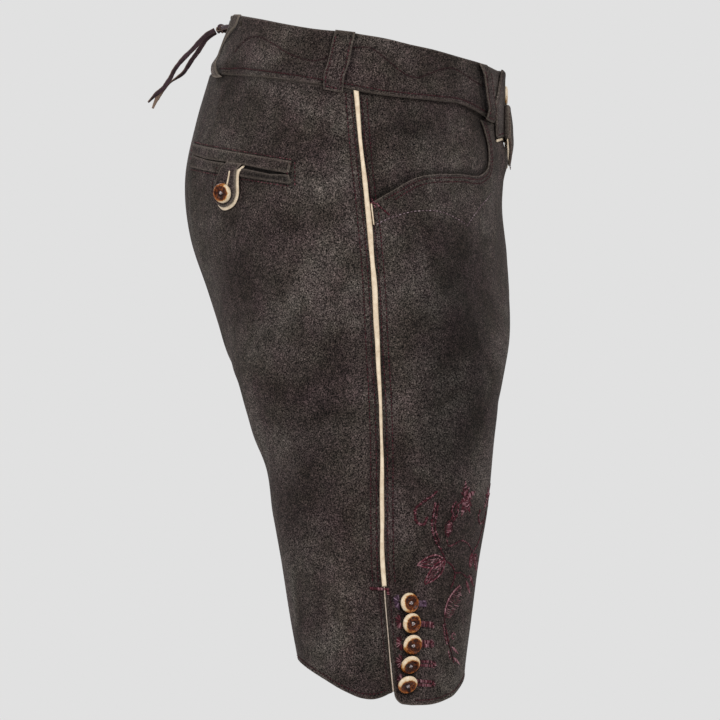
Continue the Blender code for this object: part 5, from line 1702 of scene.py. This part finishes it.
def button_floor(radius):
    """Points and triangles of the flat disc in the middle, with its four holes cut out."""
    holes = []
    for quarter in range(4):
        angle = math.pi / 4 + quarter * math.pi / 2
        centre = np.array([math.cos(angle), math.sin(angle)]) * HOLE_AT
        holes.append((centre + wheel_of(HOLE_SIDES) * HOLE_SHARE) * radius)
    wheel = wheel_of(SPIN)
    flat = np.vstack([wheel * FLOOR_SHARE * radius, *holes, wheel[::4] * 0.28 * radius, [(0, 0)]])
    edges = []
    for start, count in [(0, SPIN)] + [(SPIN + q * HOLE_SIDES, HOLE_SIDES) for q in range(4)]:
        edges += [(start + i, start + (i + 1) % count) for i in range(count)]
    found = geometry.delaunay_2d_cdt([Vector(p) for p in flat], edges, [], 0, 1e-7)
    spots, triangles = np.array([tuple(v) for v in found[0]]), np.array(found[2])
    for hole in holes:
        triangles = triangles[~against(spots[triangles].mean(1), hole)[1]]
    return spots, triangles


def button_shape(radius, pale_way):
    """Points, faces and horn depth of a button that lies on its back at the origin, in metres; the horn
    depth is higher on its pale side, a painted highlight on its rim. Its dish lies off its centre, away
    from its pale side."""
    wheel = wheel_of(SPIN)
    dish = -np.array(pale_way) * OFF_CENTRE * radius
    paleness = soft_step((wheel @ pale_way + 0.35) / 0.9)
    points, rings = [], []
    for share, height, dark_side, pale_side in PROFILE:
        slid = dish * np.clip((1 - share) / 0.3, 0, 1) * (height > 0.5)
        points.append(np.c_[wheel * share * radius + slid, np.full(SPIN, height * BUTTON_THICK)])
        rings.append(dark_side + (pale_side - dark_side) * paleness)
    faces = tube(len(PROFILE), SPIN, capped=False)
    spots, triangles = button_floor(radius)
    count = top = len(PROFILE) * SPIN
    for level in (FLOOR, UNDERSIDE):
        points.append(np.c_[spots + dish, np.full(len(spots), level * BUTTON_THICK)])
        faces += [tuple(int(v) + count for v in (t if level == FLOOR else t[::-1])) for t in triangles]
        count += len(spots)
    rings = np.concatenate([*rings, np.full(2 * len(spots), FLOOR_DEPTH)])
    for q in range(4):
        base = top + SPIN + q * HOLE_SIDES
        faces += [(base + i, base + (i + 1) % HOLE_SIDES, base + len(spots) + (i + 1) % HOLE_SIDES,
                   base + len(spots) + i) for i in range(HOLE_SIDES)]
    return np.vstack(points) * MM, faces, rings, Vector((*dish, 0))


print("a button has", len(button_shape(7.9, (0, 1))[1]), "faces")

# %% Place a button, and thread it
def button_place(placing, centre, seat, tilt, radius):
    """Where a button lies: it leans on the leather, its underside just clear of it."""
    along, level = centre
    spots = placing(np.array([along, along, along + 1, along]), np.array([level, level, level, level + 1]),
                    np.array([seat, seat + 1, seat, seat]))
    here, out_point, ahead, up = (Vector(p) for p in spots)
    normal, forward, upward = ((p - here).normalized() for p in (out_point, ahead, up))
    ahead_turn, down_turn = (math.radians(a) for a in tilt)
    facing = (normal + forward * math.tan(ahead_turn) - upward * math.tan(down_turn)).normalized()
    lean = math.acos(min(1.0, facing.dot(normal)))
    # Radius and height of the points that can touch the leather when it leans.
    profile = [(0.72, 0.0), (0.96, 0.22), (1.0, 0.6), (0.9, 1.0)]
    clear = SEAM_GAP + max(share * radius * math.sin(lean) - height * BUTTON_THICK * math.cos(lean)
                           for share, height in profile)
    over = facing.cross(upward).normalized()
    turn = Matrix((over, facing.cross(over), facing)).transposed().to_4x4()
    return Matrix.Translation(here + normal * clear * MM) @ turn


STRAND_APART, STRAND_RADIUS = 0.42, 0.36


def button_threads(name, at, dish, radius, thick):
    """Two pairs of strands that cross in the dish and dive into the four holes."""
    points, faces = [], []
    for k, angle in enumerate((math.pi / 4, 3 * math.pi / 4)):
        way = Vector((math.cos(angle), math.sin(angle), 0))
        over = Vector((-way.y, way.x, 0))
        for strand in (-STRAND_APART, STRAND_APART):
            faces += tube(9, RING, len(points))
            for share in np.linspace(-1, 1, 9):
                rise = FLOOR * thick + 0.55 * (1 - share**4) + 0.35 * k * (1 - share**2) - 1.2 * (abs(share) > 0.99)
                centre = way * share * (HOLE_AT + 0.015) * radius + over * strand * (1 - 0.3 * share**2)
                for j in range(RING):
                    turn = j * math.pi / 3
                    lift = Vector((0, 0, rise + STRAND_RADIUS * math.sin(turn)))
                    points.append(at @ ((dish + centre + over * STRAND_RADIUS * math.cos(turn) + lift) * MM))
    shade = np.repeat(np.random.default_rng(len(name)).uniform(0.0, 1.0, len(points) // RING), RING)
    new_object(f"{name}_thread", [tuple(p) for p in points], faces, button_thread, {"shade": shade})


def button(name, node, placing, centre, seat, tilt, radius=7.9, spin=0.0, pale=120, thick=BUTTON_THICK, paleness=1.0):
    """A horn button in place of its solid, and the thread through its four holes. pale is where its
    pale side is, the side painted with a highlight, in degrees, 0 to the front, 90 up, and paleness how
    pale that side is."""
    at = button_place(placing, centre, seat, tilt, radius) @ Matrix.Rotation(spin, 4, "Z")
    pale_angle = math.radians(pale)
    pale_way = (at.to_3x3().inverted() @ Vector((0, -math.cos(pale_angle), math.sin(pale_angle)))).xy.normalized()
    points, faces, rings, dish = button_shape(radius, tuple(pale_way))
    points[:, 2] *= thick / BUTTON_THICK
    made = new_object(name, [tuple(at @ Vector(p)) for p in points], faces, horn, {"ring": rings * paleness})
    made.data.set_sharp_from_angle(angle=math.radians(50))
    trim_piece(made, node)
    button_threads(name, at, dish, radius, thick)


# %% Put the buttons on
for side, where in SIDES:
    for number, spot in enumerate(LEG_BUTTONS, 1):
        seat = float(folds(spot.along, spot.level)) + spot.seat
        button(f"horn_button_{where}_{number}", f"leg_button_{where}_{number}", ON[side], (spot.along, spot.level),
               seat, (spot.to_front, spot.down), spin=0.7 * number, pale=spot.pale)
on_tab, on_placket = float(pocket_tab_face(*TAB_END)) - 1.0, float(placket_face(0, 4.5)) - 1.2
button("horn_button_pocket", "pocket_button", ON[RIGHT], tuple(TAB_END), on_tab, (22, 8), spin=0.4, pale=-20)
# The waist button's pale side is painted paler still: a painted highlight on its rim.
button("horn_button_waist", "waist_button", AT_FRONT, (0.0, 4.5), on_placket, (0, 0), pale=90, thick=3.0,
       paleness=1.6)
print("buttons:", len([o for o in bpy.data.objects if horn in list(getattr(o.data, "materials", []))]))
